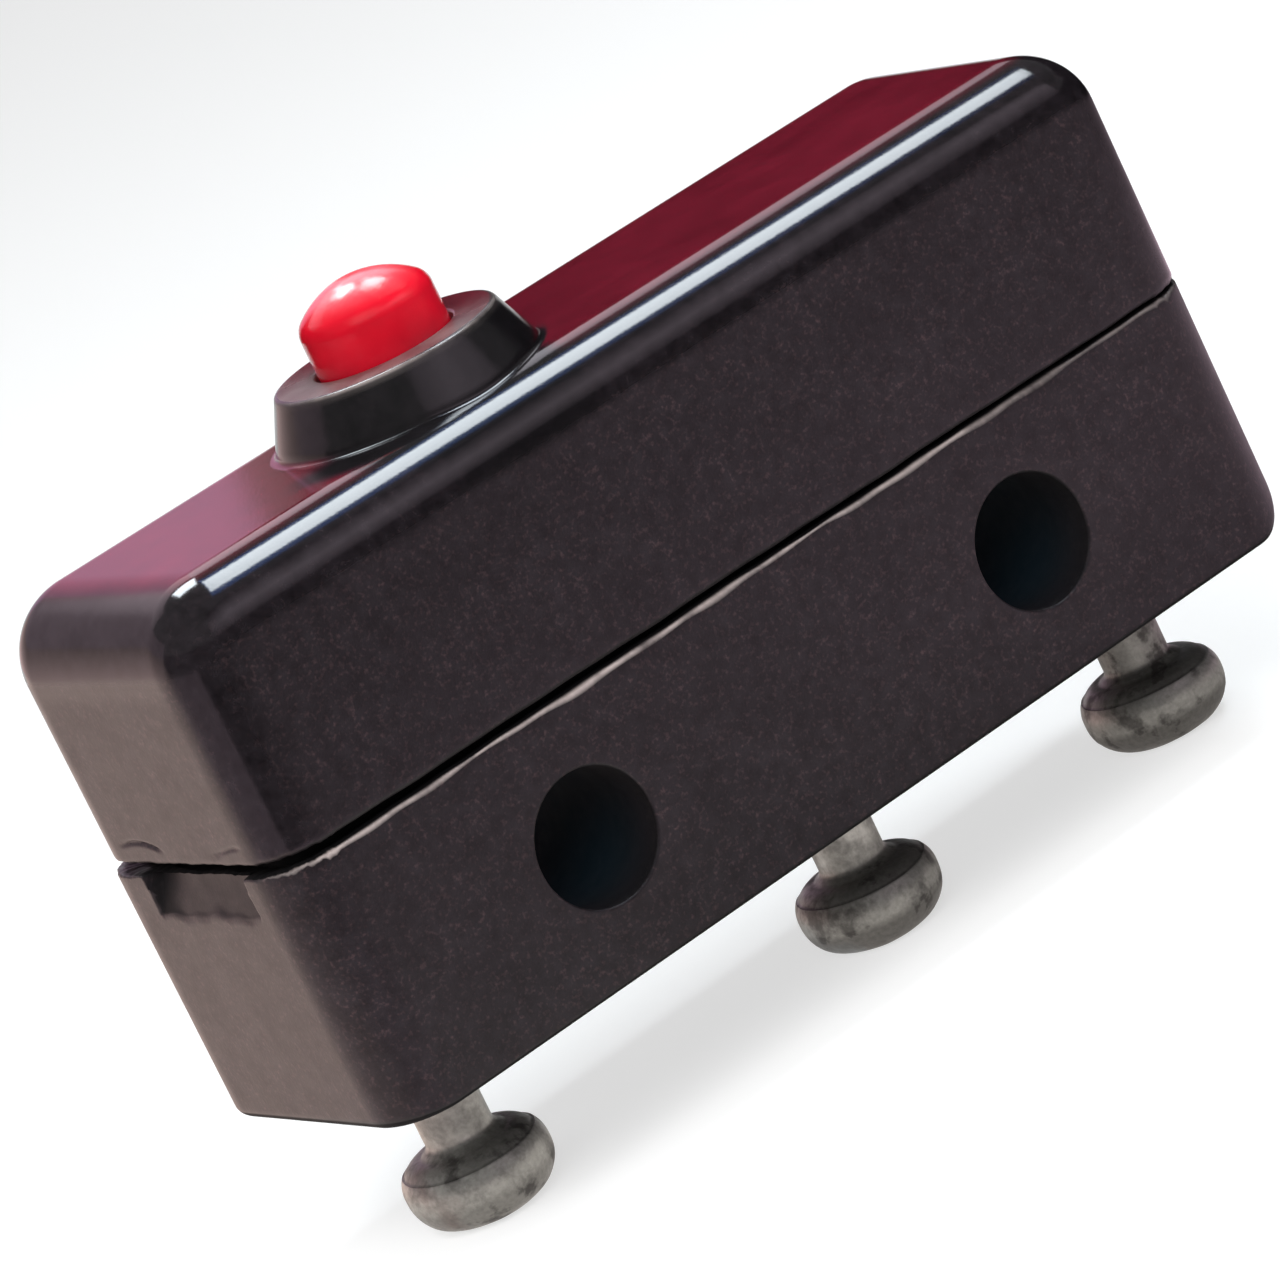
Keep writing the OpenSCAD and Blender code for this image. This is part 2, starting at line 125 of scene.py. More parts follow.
class CaseSettings(bpy.types.PropertyGroup):
    """Sizes and colours of the moulded case."""
    edge_radius: length("Edge radius", "Rounding of the upright edges and the long top edges", 1.1)
    end_radius: length("End radius", "Rounding of the cover between its top and its ends", 1.3)
    flat_corner: length("Flat corner", "Rounding of the flat top's own corners", 0.06)
    end_step: length("End step", "How far the cover stands back from the base at the plunger's end", 0.09)
    wall: length("Wall", "Thickness of the case wall", 1.1)
    lap: length("Lap", "Width of the cover's rim outside the tongue", 0.5)
    tongue_fit: length("Tongue fit", "Gap between the tongue and the cover", 0.03)
    tongue_top: length("Tongue top", "Height of the tongue's top edge in the frame", 2.75)
    cavity_round: length("Cavity round", "Rounding of the hollow's upright corners", 0.3)
    cavity_floor: length("Cavity floor", "Height of the hollow's floor in the frame", 1.6)
    boss_height: length("Boss height", "How far the plunger's boss stands above the top", 0.92)
    boss_top_width: length("Boss top width", "Diameter of the boss at its top", 3.9)
    boss_foot_width: length("Boss foot width", "Diameter of the boss where it meets the top", 4.56)
    boss_edge: length("Boss edge", "Rounding of the boss's upper edge", 0.1)
    boss_root: length("Boss root", "Rounding where the boss meets the top", 0.1)
    bore_width: length("Bore width", "Diameter of the hole that guides the plunger", 2.4)
    bore_mouth: length("Bore mouth", "Rounding of the guide hole's upper edge", 0.05)
    rim_round: length("Rim round", "Rounding of the cover's lower edge", 0.09)
    split_wedge: length("Split wedge", "How much wider the split is at one end than at the other", 0.13)
    rim_lift: length("Rim lift", "How far the base's edge stands up into the split", 0.07)
    split_wobble: length("Split wobble", "Waviness of the edges along the split", 0.012)
    mark_depth: length("Mark depth", "Depth of the curved tool marks on the cover's end", 0.05)
    mark_width: length("Mark width", "Width of the curved tool marks", 0.07)
    lip_round: length("Lip round", "Rounding of the base's upper edge", 0.1)
    near_foot: length("Near foot", "Rounding of the base's lower corner at the plunger's end", 0.25)
    far_foot: length("Far foot", "Rounding of the base's lower corner at the other end", 1.0)
    foot_edge: length("Foot edge", "Rounding of the base's long lower edges", 0.1)
    pocket_width: length("Pocket width", "Width of the shallow pocket in each end", 3.15)
    pocket_height: length("Pocket height", "Height of the shallow pocket below the base's rim", 0.64)
    pocket_depth: length("Pocket depth", "Depth of the shallow pocket in each end", 0.22)
    pocket_shift: length("Pocket shift", "Sideways place of the pocket", -0.17)
    pocket_soft: length("Pocket soft", "Softness of the pocket's edges", 0.09)
    hole_flare: length("Hole flare", "Rounding of the mounting holes' edges", 0.045)
    plum: colour("Plum", "Main colour of the moulding", (0.0112, 0.0089, 0.0106))
    brown: colour("Brown", "Paler specks in the moulding", (0.042, 0.025, 0.027))
    coal: colour("Coal", "Dark specks in the moulding", (0.008, 0.008, 0.01))
    # Red-brown of the faces that look up: partly the moulding's own colour, partly a painted reflection of a
    # pink surround
    maroon: colour("Maroon", "Colour of the faces that look up", (0.15, 0.0095, 0.0215))
    # Pale colour of rubbed edges, also the painted highlights on the boss's upper edge and the base's lip
    worn_and_lit: colour("Worn", "Colour of rubbed edges", (0.46, 0.385, 0.365))
    # Painted shade: near black inside the split, the hollow, the guide hole and the pockets, and on the
    # boss's side
    split_shade: colour("Split dark", "Colour inside the split and the pockets", (0.0042, 0.0042, 0.0045))
    # Painted shade, dark blue, deep inside the mounting holes
    hole_shade: colour("Hole dark", "Colour deep inside the mounting holes", (0.01, 0.03, 0.046))
    cover_rough: share("Cover roughness", "Roughness of the cover's flat sides", 0.42)
    base_rough: share("Base roughness", "Roughness of the base's flat sides", 0.43)
    edge_rough: share("Edge roughness", "Roughness of the top and the rounded edges", 0.11)


class PlungerSettings(bpy.types.PropertyGroup):
    """Sizes and colours of the red plunger."""
    width: length("Width", "Diameter of the plunger's shaft", 2.3)
    crown: length("Crown", "Radius of the domed top", 1.6)
    shoulder: length("Shoulder", "Rounding between the dome and the shaft", 0.35)
    flange_width: length("Flange width", "Diameter of the flange inside the case", 3.1)
    flange_height: length("Flange height", "Thickness of the flange", 0.5)
    flange_top: length("Flange top", "Height of the flange's upper face in the frame", 5.65)
    nib_width: length("Nib width", "Diameter of the nib that bears on the spring", 1.0)
    dent: length("Dent", "Unevenness of the plunger's skin", 0.012)
    red: colour("Red", "Main colour of the plunger", (0.58, 0.005, 0.018))
    # The dome is painted paler towards its top: a painted highlight
    pink: colour("Pink", "Paler bloom on the plunger's dome", (0.8, 0.12, 0.15))
    # Painted shade: darker red where the plunger meets the boss
    painted_foot_shade: colour("Foot shade", "Darker red where the plunger meets the boss", (0.2, 0.004, 0.014))
    rough: share("Roughness", "Roughness of the plunger", 0.17)


class TerminalSettings(bpy.types.PropertyGroup):
    """Sizes and colours of the three terminal posts."""
    stem_width: length("Stem width", "Diameter of the stem", 1.18)
    stem_length: length("Stem length", "Bare stem below the case", 1.5)
    head_width: length("Head width", "Diameter of the head", 2.56)
    head_slope: length("Head slope", "Height of the head's sloped upper face", 0.06)
    upper_round: length("Upper round", "Rounding at the top of the head's rim", 0.52)
    lower_round: length("Lower round", "Rounding under the head's rim", 0.68)
    head_step: length("Head step", "Small step between the head's upper face and its rim", 0.025)
    neck_round: length("Neck round", "Fillet between stem and head", 0.12)
    collar_width: length("Collar width", "Diameter of the collar set in the base", 1.7)
    collar_height: length("Collar height", "Height of the collar set in the base", 0.6)
    tenon_width: length("Tenon width", "Diameter of the tenon inside the case", 0.84)
    rivet_width: length("Rivet width", "Diameter of the riveted end", 1.5)
    rivet_height: length("Rivet height", "Height of the riveted end", 0.25)
    rivet_bevel: length("Rivet bevel", "Chamfer of the riveted end", 0.08)
    dent: length("Dent", "Unevenness of the metal", 0.02)
    metal: colour("Metal", "Colour of the clean plating", (0.46, 0.455, 0.42))
    # Dark colour of tarnish, also used for the painted shade on the heads
    tarnish_and_shade: colour("Tarnish", "Colour of the dulled plating", (0.075, 0.07, 0.066))
    stain: colour("Stain", "Colour of the brown stains", (0.1, 0.03, 0.028))


class MetalSettings(bpy.types.PropertyGroup):
    """Colours of the metals inside the case."""
    bronze: colour("Bronze", "Spring bronze", (0.62, 0.36, 0.17))
    bronze_dark: colour("Bronze, dulled", "Spring bronze where it is dulled", (0.36, 0.19, 0.09))
    brass: colour("Brass", "Brass strips", (0.68, 0.5, 0.22))
    brass_dark: colour("Brass, dulled", "Brass strips where they are dulled", (0.42, 0.28, 0.12))
    silver: colour("Silver", "Contact silver", (0.72, 0.7, 0.67))
    silver_dark: colour("Silver, dulled", "Contact silver where it is dulled", (0.4, 0.38, 0.36))


class StageSettings(bpy.types.PropertyGroup):
    """Camera, floor and lights."""
    camera_place: bpy.props.FloatVectorProperty(
        name="Camera place", description="Where the camera stands", size=3, subtype="TRANSLATION",
        unit="LENGTH", default=(-0.0531, -0.094478, 0.029104))
    camera_right: bpy.props.FloatVectorProperty(
        name="Camera right", description="Direction of the picture's right side", size=3,
        subtype="DIRECTION", default=(0.73556, -0.53053, -0.4213))
    camera_up: bpy.props.FloatVectorProperty(
        name="Camera up", description="Direction of the picture's upper side", size=3,
        subtype="DIRECTION", default=(0.48909, -0.01445, 0.87211))
    lens: bpy.props.FloatProperty(
        name="Lens", description="Focal length for a 36 mm wide sensor", default=194.72, unit="CAMERA")
    floor_reach: length("Floor reach", "Radius of the floor", 3000)
    floor: colour("Floor", "Colour of the floor", (0.45, 0.45, 0.45))
    floor_glow: level("Floor glow", "White that the floor adds for the eye and for reflections", 0.62)
    horizon: level("Horizon", "Brightness of the surroundings at eye height", 0.9)
    sky: level("Sky", "Brightness of the surroundings higher up", 0.16)
    key: level("Key", "Brightness of the large soft light", 5.0)
    strip: level("Strip", "Brightness of the strip overhead", 11.0)
    side: level("Side", "Brightness of the soft light at the plunger's end", 2.0)


def outline(turn, half_x, half_y, radius):
    """Points on a rounded rectangle and the directions square to it.

    turn runs from 0 to 8. An even whole part is a side, taken from the right one counter-clockwise,
    an odd one is the corner arc after it, and the fraction is the share of that side or arc.
    """
    whole = np.floor(turn).astype(int)
    part = turn - whole
    on_side = whole % 2 == 0
    quarter = (whole // 2) % 4
    angle = quarter * QUARTER
    across = quarter % 2 == 0
    reach = np.where(across, half_x, half_y) - radius
    run = np.where(across, half_y, half_x) - radius
    along = np.where(on_side, (2 * part - 1) * run, run)
    swing = angle + np.where(on_side, 0, part * QUARTER)
    square = np.stack([np.cos(swing), np.sin(swing)], 1)
    normal = np.stack([np.cos(angle), np.sin(angle)], 1)
    tangent = np.stack([-np.sin(angle), np.cos(angle)], 1)
    points = normal * reach[:, None] + tangent * along[:, None] + square * radius
    return points, square


def spread(half_x, half_y, radius, step, extra, arc_columns=16):
    """Places around a rounded rectangle, the same in front as behind.

    Columns stand a step apart, closer where extra(points) asks for more of them in a metre,
    and each corner arc gets its own. Ends of sides always have a column.
    """
    fine = np.linspace(0.5, 4.5, 8001)
    line, _ = outline(fine, half_x, half_y, radius)
    pace = np.hypot(*np.diff(line, axis=0).T)
    middle = (line[1:] + line[:-1]) / 2
    on_arc = np.floor(fine[:-1]).astype(int) % 2 == 1
    weight = pace * (1 / step + extra(middle)) + on_arc * np.diff(fine) * arc_columns
    travel = np.concatenate([[0], np.cumsum(weight)])
    count = int(round(travel[-1]))
    upper = np.interp(np.linspace(0, travel[-1], count + 1), travel, fine)
    for whole in range(1, 5):
        upper[np.abs(upper - whole).argmin()] = whole
    lower = (1 - upper[1:-1][::-1]) % SIDES
    return np.concatenate([upper, lower])


def smooth(value):
    """Soft step from 0 to 1: three times the square less twice the cube, held at both ends."""
    held = np.clip(value, 0, 1)
    return held * held * (3 - 2 * held)


def end_share(turn):
    """1 on the two short ends, 0 on the long sides, and a soft step along the corner arcs."""
    whole = np.floor(turn).astype(int) % SIDES
    part = smooth(turn - np.floor(turn))
    towards_side = (whole % 4) == 1
    return np.select([whole % 4 == 0, towards_side, whole % 4 == 2], [1.0, 1 - part, 0.0], part)


def ripple(place, *waves):
    """Sum of sine waves over places from 0 to 1. Each wave has its cycles, its phase and its size."""
    return sum(size * np.sin(TURN * cycles * place + phase) for cycles, phase, size in waves)


class Rings:
    """A stack of closed rings with four marks for each point, from 0 to 1: the red-brown crown, partly a
    painted reflection; gloss; abrasion with painted highlights and shade; and painted shade in hollows and
    beside the boss.
    """

    def __init__(self):
        self.points = []
        self.marks = []

    def add(self, plan, height, crown=0.0, gloss=0.0, wear_and_painted_light=0.0, painted_shade=0.0):
        """One ring from its points in plan and their height."""
        count = len(plan)
        self.points.append(np.column_stack([plan, np.broadcast_to(height, count)]))
        finish = [np.broadcast_to(value, count) for value in (crown, gloss, wear_and_painted_light, painted_shade)]
        self.marks.append(np.column_stack(finish))

    def arrays(self):
        """All rings as one array of points and one of finishes."""
        return np.stack(self.points), np.stack(self.marks)


def ring_faces(index, loop=False):
    """Four-sided faces between neighbouring rings; a loop also joins the last ring to the first."""
    upper = index if loop else index[:-1]
    lower = np.roll(index, -1, 0) if loop else index[1:]
    return np.stack([upper, lower, np.roll(lower, -1, 1), np.roll(upper, -1, 1)], -1)


def make_piece(name, points, marks, faces, sharp):
    """Mesh object at the origin from points, their marks and lists of faces, shaded smooth."""
    mesh = bpy.data.meshes.new(name)
    mesh.from_pydata(points.tolist(), [], faces)
    mesh.validate()
    mesh.shade_smooth()
    mesh.set_sharp_from_angle(angle=sharp)
    for column, finish in enumerate(SURFACE_MARKS):
        layer = mesh.attributes.new(finish, "FLOAT", "POINT")
        layer.data.foreach_set("value", np.ascontiguousarray(marks[:, column], dtype=np.float32))
    piece = bpy.data.objects.new(name, mesh)
    bpy.context.scene.collection.objects.link(piece)
    return piece


def settle(piece, body, node, material):
    """Gives a piece its material and the body it rides on, and hides the CAD node it stands for."""
    piece.data.materials.append(material)
    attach(piece, body)
    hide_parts(node)


def cover_shape(case):
    """Rings of the cover, from the guide hole's lower edge over the boss, top and walls to the hollow.

    Around: columns of the case outline. Along: circles of the boss, straight spokes over the flat top,
    a quarter ellipse from flat to wall, the wall with its tool marks, the rim, the lap and the hollow.
    """
    low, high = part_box("cover_housing")
    half_x, half_y = high.x, high.y
    boss_top = high.z
    top = boss_top - case.boss_height
    ceiling = top - case.wall
    button_low, button_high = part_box("plunger")
    axis = (button_low.x + button_high.x) / 2

    def detail(middle):
        """More columns near the boss, one to each 2.6 degrees of it, and along the end with the marks."""
        around_boss = 1 / (np.hypot(middle[:, 0] - axis, middle[:, 1]) * math.radians(2.6))
        marked_end = smooth((-middle[:, 0] - half_x + 0.0012) / 0.0004) / 0.00011
        return around_boss + marked_end

    turn = spread(half_x, half_y, case.edge_radius, COVER_STEP, detail)
    walls, square = outline(turn, half_x, half_y, case.edge_radius)
    flat, _ = outline(turn, half_x - case.end_radius, half_y - case.edge_radius, case.flat_corner)
    for plan in (walls, flat):
        plan[:, 0] += case.end_step * smooth((-plan[:, 0] / half_x - 0.7) / 0.15)
    ends = end_share(turn)
    corner = smooth(1 - np.abs(turn % 2 - 1.5) * 2)
    drop = case.edge_radius + (case.end_radius - case.edge_radius) * ends
    span = walls - flat
    bearing = np.arctan2(walls[:, 1], walls[:, 0] - axis)
    spoke = np.stack([np.cos(bearing), np.sin(bearing)], 1)
    centre = np.array([axis, 0])

    def beyond(plan):
        """Share of the way from the flat's edge to the wall."""
        return ((plan - flat) * span).sum(1) / (span ** 2).sum(1)

    def top_height(plan):
        """Height of the top: level on the flat, a quarter ellipse beyond it."""
        out = np.clip(beyond(plan), 0, 1)
        return top - drop * (1 - np.sqrt(1 - out * out))

    rings = Rings()
    # Towards the front-left, on the side of the key light: paler and less red on the boss top, partly wear,
    # partly painted light
    rubbed_and_lit = smooth(0.5 + 0.7 * np.cos(bearing + 2.36))
    facing = smooth((-np.sin(bearing) - 0.15) / 0.35)

    def circle(radius, height, **finish):
        """One ring about the plunger's axis."""
        rings.add(centre + spoke * np.reshape(radius, (-1, 1)), height, **finish)

    foot = case.boss_foot_width / 2
    shade_reach, shade_side, shade_shift, shade_soft = 0.0013, 0.0003, 0.0008, 0.0005

    def near_boss(plan):
        """Painted shade in front of the boss, where the glossy top mirrors its dark side: soft steps away
        from its foot and to both sides.
        """
        away = np.hypot(plan[:, 0] - axis, plan[:, 1])
        aside = np.abs(plan[:, 0] - axis + shade_shift)
        beside = smooth((foot + shade_side - aside) / shade_soft)
        return facing * beside * smooth((foot + shade_reach - away) / shade_soft)

    bore = case.bore_width / 2
    mouth = case.bore_mouth
    # The guide hole's wall: painted shade
    for height in np.linspace(ceiling, boss_top - mouth - 0.0004, 4):
        circle(bore, height, painted_shade=1)
    circle(bore, boss_top - mouth, crown=1, wear_and_painted_light=0.2)
    boss_top_marks = {"crown": 0.85 - 0.5 * rubbed_and_lit, "wear_and_painted_light": 0.28 * rubbed_and_lit, "gloss": 0.8 - 0.6 * rubbed_and_lit}
    for angle in np.linspace(0, QUARTER, 5)[1:]:
        circle(bore + mouth * (1 - math.cos(angle)), boss_top - mouth * (1 - math.sin(angle)),
               **boss_top_marks)
    edge = case.boss_edge
    boss = case.boss_top_width / 2
    for radius in np.linspace(bore + mouth, boss - edge, 7)[1:]:
        circle(radius, boss_top, **boss_top_marks)
    cone = math.atan2(foot - boss, case.boss_height)
    # Upper edge of the boss: a painted highlight along it, strongest at the front, and painted shade growing
    # down towards the side
    for angle in np.linspace(QUARTER, cone, 8)[1:]:
        circle(boss - edge + edge * math.cos(angle), boss_top - edge + edge * math.sin(angle),
               gloss=0.6, wear_and_painted_light=math.sin(2 * angle) ** 3 * (0.2 + 0.45 * facing),
               painted_shade=BOSS_SHADE * smooth((1.2 - angle) / (1.2 - cone)))
    root = case.boss_root
    foot_line = centre + spoke * (foot + root)
    foot_height = top_height(foot_line)
    side_radius = boss - edge + edge * math.cos(cone)
    side_height = boss_top - edge + edge * math.sin(cone)
    # The boss's side: painted shade
    for part in np.linspace(0, 1, 10)[1:]:
        circle(np.broadcast_to(side_radius + (foot - side_radius) * part, len(turn)),
               side_height + (foot_height + root - side_height) * part, gloss=0.8, painted_shade=BOSS_SHADE)
    # The root: red-brown fading in away from the front, painted shade at the front
    for angle in np.linspace(math.pi, 1.5 * math.pi, 6)[1:]:
        circle(foot + root + root * math.cos(angle), foot_height + root + root * math.sin(angle),
               crown=smooth((angle - math.pi) / QUARTER) * (1 - facing), gloss=0.9,
               painted_shade=BOSS_SHADE * facing)
    start = np.clip(beyond(foot_line) + 0.1, 0, 0.9)
    start_line = flat + span * start[:, None]
    # The flat top: red-brown, partly a painted reflection, and painted shade in front of the boss
    for part in (0.02, 0.08, 0.16, 0.25, 0.35, 0.45, 0.55, 0.65, 0.75, 0.85, 0.93, 0.98, 1.0):
        plan = foot_line + (start_line - foot_line) * part
        shade = near_boss(plan)
        rings.add(plan, top_height(plan), crown=1 - shade, gloss=1, painted_shade=BOSS_SHADE * shade)
    first = np.arcsin(start)
    # The round from top to wall: red-brown fading out as it turns from up, partly a painted reflection, and
    # painted shade before the boss
    for part in np.linspace(0, 1, 25)[1:]:
        angle = first + (QUARTER - first) * part
        fade = smooth((np.radians(28) - angle) / np.radians(26))
        plan = flat + span * np.sin(angle)[:, None]
        shade = near_boss(plan)
        polish = smooth((np.radians(98) - angle) / np.radians(26))
        rings.add(plan, top - drop * (1 - np.cos(angle)), crown=fade * (1 - shade),
                  gloss=np.maximum(polish, corner * CORNER_GLOSS), painted_shade=BOSS_SHADE * shade)
    around = turn / SIDES
    rim_round = case.rim_round
    slant = -case.split_wedge * walls[:, 0] / (2 * half_x)
    wobble = ripple(around, (31, 0.4, 0.5), (57, 1.9, 0.35), (113, 4.1, 0.3)) * case.split_wobble
    rim = low.z + 0.00002 + slant + wobble
    brow = top - drop
    parts = np.concatenate([np.linspace(0, 0.06, 4)[1:], np.linspace(0.1, 0.76, 10),
                            np.linspace(0.78, 0.96, 24), [0.98, 1.0]])
    for part in parts:
        height = brow + (rim + rim_round - brow) * part
        sunk = tool_marks(case, walls, height, half_x)
        rings.add(walls - square * sunk[:, None], height,
                  gloss=np.maximum(corner * CORNER_GLOSS, smooth(1 - part * 8) * 0.25))
    # The rim's lower round: painted shade growing into the split
    for angle in np.linspace(0, QUARTER, 6)[1:]:
        rings.add(walls - square * rim_round * (1 - math.cos(angle)),
                  rim + rim_round * (1 - math.sin(angle)), painted_shade=math.sin(angle))
    lap, _ = outline(turn, half_x - case.lap, half_y - case.lap, case.edge_radius - case.lap)
    hollow, _ = outline(turn, half_x - case.wall, half_y - case.wall, case.cavity_round)
    # Lap, tongue face and hollow: painted shade
    rings.add(lap, rim, painted_shade=1)
    rings.add(lap, case.tongue_top, painted_shade=1)
    rings.add(hollow, case.tongue_top, painted_shade=1)
    rings.add(hollow, ceiling, painted_shade=1)
    points, marks = rings.arrays()
    faces = ring_faces(np.arange(points[..., 0].size).reshape(points.shape[:2]), loop=True)
    return points.reshape(-1, 3), marks.reshape(-1, len(SURFACE_MARKS)), faces.reshape(-1, 4).tolist()


def tool_marks(case, walls, height, half_x):
    """How far the end wall sinks along two curved tool marks: a bell across a parabola over the width."""
    y = walls[:, 1]
    fade = 0.0003
    curve = np.where(y > 0, 0.00278 - 260 * (y - 0.0013) ** 2, 0.00272 - 150 * (y + 0.0021) ** 2)
    strong = smooth((y - 0.00045) / fade) * smooth((0.0019 - y) / fade)
    faint = smooth((-y - 0.0009) / fade) * smooth((0.0021 + y) / fade) * 0.7
    on_end = walls[:, 0] < -half_x + 0.0004
    bell = np.exp(-((height - curve) / (case.mark_width / 2)) ** 2)
    return case.mark_depth * bell * (strong + faint) * on_end


def base_shape(case):
    """Rings of the base, from the hollow's floor over tongue and lip, down the wall and under the foot.

    Around: columns of the case outline. Along: the hollow, the tongue, a quarter round lip, the wall
    sunk by the pockets, and a quarter ellipse to the underside. Two round holes go through the sides.
    """
    low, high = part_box("base_housing")
    half_x, half_y = high.x, high.y
    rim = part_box("cover_housing")[0].z - SPLIT_HEIGHT
    pocket_edge = case.pocket_width / 2

    def detail(middle):
        """More columns on the ends, and most beside the pockets' edges."""
        on_end = smooth((np.abs(middle[:, 0]) - half_x + 0.0012) / 0.0003) / 0.00014
        offset = np.abs(np.abs(middle[:, 1] - case.pocket_shift) - pocket_edge)
        offset = np.minimum(offset, np.abs(np.abs(middle[:, 1] + case.pocket_shift) - pocket_edge))
        near_pocket = np.exp(-(offset / 0.00012) ** 2) / 0.000022
        return on_end * (1 + near_pocket * 0.00014)

    turn = spread(half_x, half_y, case.edge_radius, BASE_STEP, detail)
    walls, square = outline(turn, half_x, half_y, case.edge_radius)
    ends = end_share(turn)
    around = turn / SIDES
    hollow, _ = outline(turn, half_x - case.wall, half_y - case.wall, case.cavity_round)
    inset = case.lap + case.tongue_fit
    tongue, _ = outline(turn, half_x - inset, half_y - inset, case.edge_radius - inset)
    wobble = ripple(around, (27, 2.2, 0.5), (61, 0.3, 0.35), (139, 5.2, 0.35)) * case.split_wobble
    lip = case.lip_round * (1 + ripple(around, (19, 1.1, 0.2), (43, 3.3, 0.2), (97, 0.7, 0.15)))
    lip = lip * (1 - 0.6 * ends)
    edge = rim + case.rim_lift + wobble
    beaded = smooth((-walls[:, 0] - half_x + 0.0012) / 0.0003) * smooth((walls[:, 1] - 0.0014) / 0.0005)
    # How strong the lip's pale line is: fading towards the right
    rubbed_and_lit = 1 - 0.65 * smooth((walls[:, 0] - 0.003) / 0.004)
    rings = Rings()
    # Hollow, tongue and the lip's upper side: painted shade, except on the bead
    rings.add(hollow, case.cavity_floor, painted_shade=1)
    rings.add(hollow, case.tongue_top, painted_shade=1)
    rings.add(tongue, case.tongue_top, painted_shade=1)
    rings.add(tongue, rim, painted_shade=1)
    rings.add(walls - square * (lip + 0.00012)[:, None], edge, painted_shade=1 - beaded)
    first_outer = len(rings.points)
    # The lip's round: painted shade on its upper part, and a pale line that is partly wear, partly a painted
    # highlight
    for angle in np.linspace(QUARTER, 0, 8):
        rings.add(walls - square * (lip * (1 - math.cos(angle)))[:, None],
                  edge - lip * (1 - math.sin(angle)), painted_shade=smooth(math.sin(angle) * 3 - 2) * (1 - beaded),
                  wear_and_painted_light=max(0.0, math.sin(2 * angle)) * (1 - ends) * rubbed_and_lit)
    end_foot = np.where(walls[:, 0] < 0, case.near_foot, case.far_foot)
    foot = case.foot_edge + (end_foot - case.foot_edge) * ends
    hole_top, lowest = 0.00131, -0.0015
    squeeze = np.minimum(1, (low.z + foot + 0.00005) / lowest)
    pocket_low = rim - case.pocket_height
    soft = case.pocket_soft
    below_lip = 0.00016
    levels = np.concatenate([np.linspace(rim - below_lip, pocket_low + 1.2 * soft, 6),
                             np.linspace(pocket_low + soft, pocket_low - 1.3 * soft, 14),
                             np.linspace(hole_top, lowest, 20)])
    first_level = len(rings.points)
    for height in levels:
        rings.add(walls, height * (squeeze if height < 0 else 1))
    for part in (0.35, 0.7, 0.9, 1.0):
        rings.add(walls, lowest * squeeze + (low.z + foot - lowest * squeeze) * part)
    last_outer = len(rings.points)
    # The lower round: painted shade along the edge
    for angle in np.linspace(0, QUARTER, 12)[1:]:
        rings.add(walls - square * (foot * (1 - math.cos(angle)))[:, None],
                  low.z + foot * (1 - math.sin(angle)), painted_shade=smooth(angle * 2))
    sole_inset, sole_corner = 0.0008, 0.0004
    sole, _ = outline(turn, half_x - sole_inset, half_y - sole_inset, sole_corner)
    rings.add(sole, low.z)
    points, marks = rings.arrays()
    outer = points[first_outer:last_outer]
    sunk = pocket_sink(case, outer, half_x, pocket_low)
    outer[..., 0] -= np.sign(outer[..., 0]) * sunk
    # Painted shade in the pockets, darker towards one side wall
    shade = smooth((outer[..., 1] - case.pocket_shift - pocket_edge + 0.0008) / 0.0007)
    held = marks[first_outer:last_outer, :, PAINTED_SHADE]
    np.maximum(held, smooth(sunk / case.pocket_depth * 5) * (0.67 + 0.22 * shade), out=held)
    flash = flash_bump(turn, outer[..., 2], rim)
    outer[..., :2] += square * flash[..., None]
    index = np.arange(points[..., 0].size).reshape(points.shape[:2])
    faces = ring_faces(index)
    keep = np.ones(faces.shape[:2], bool)
    flat_points = points.reshape(-1, 3)
    new_points, new_marks, new_faces = [flat_points], [], []
    patch_height = 0.00145
    rows = np.flatnonzero(np.abs(levels) < patch_height) + first_level
    total = len(flat_points)
    for name in ("mounting_hole_left", "mounting_hole_right"):
        place, radius = mount_hole(name)
        columns = hole_columns(walls, half_y, place[0])
        for side in columns:
            inner = np.minimum(side[:-1], side[1:])
            keep[rows[0]:rows[-1], inner] = False
        loops = [loop_around(index, rows, side) for side in columns]
        added, band = hole_band(flat_points, loops, place, radius, case.hole_flare, total)
        # Painted shade inside the hole: near black at the mouth, dark blue deeper in
        finish = np.zeros((len(added), len(SURFACE_MARKS)))
        inside = half_y - np.abs(added[:, 1])
        finish[:, CROWN] = smooth((inside - 0.0001) / 0.003)
        finish[:, PAINTED_SHADE] = smooth(inside / 0.00006)
        new_points.append(added)
        new_marks.append(finish)
        new_faces.append(band)
        total += len(added)
    points = np.concatenate(new_points)
    marks = np.concatenate([marks.reshape(-1, len(SURFACE_MARKS))] + new_marks)
    quads = np.concatenate([faces[keep]] + new_faces)
    used, fresh = np.unique(quads, return_inverse=True)
    number = np.zeros(total, int)
    number[used] = np.arange(len(used))
    all_faces = fresh.reshape(-1, 4).tolist()
    all_faces.append(number[index[0]].tolist())
    all_faces.append(number[index[-1]][::-1].tolist())
    return points[used], marks[used], all_faces


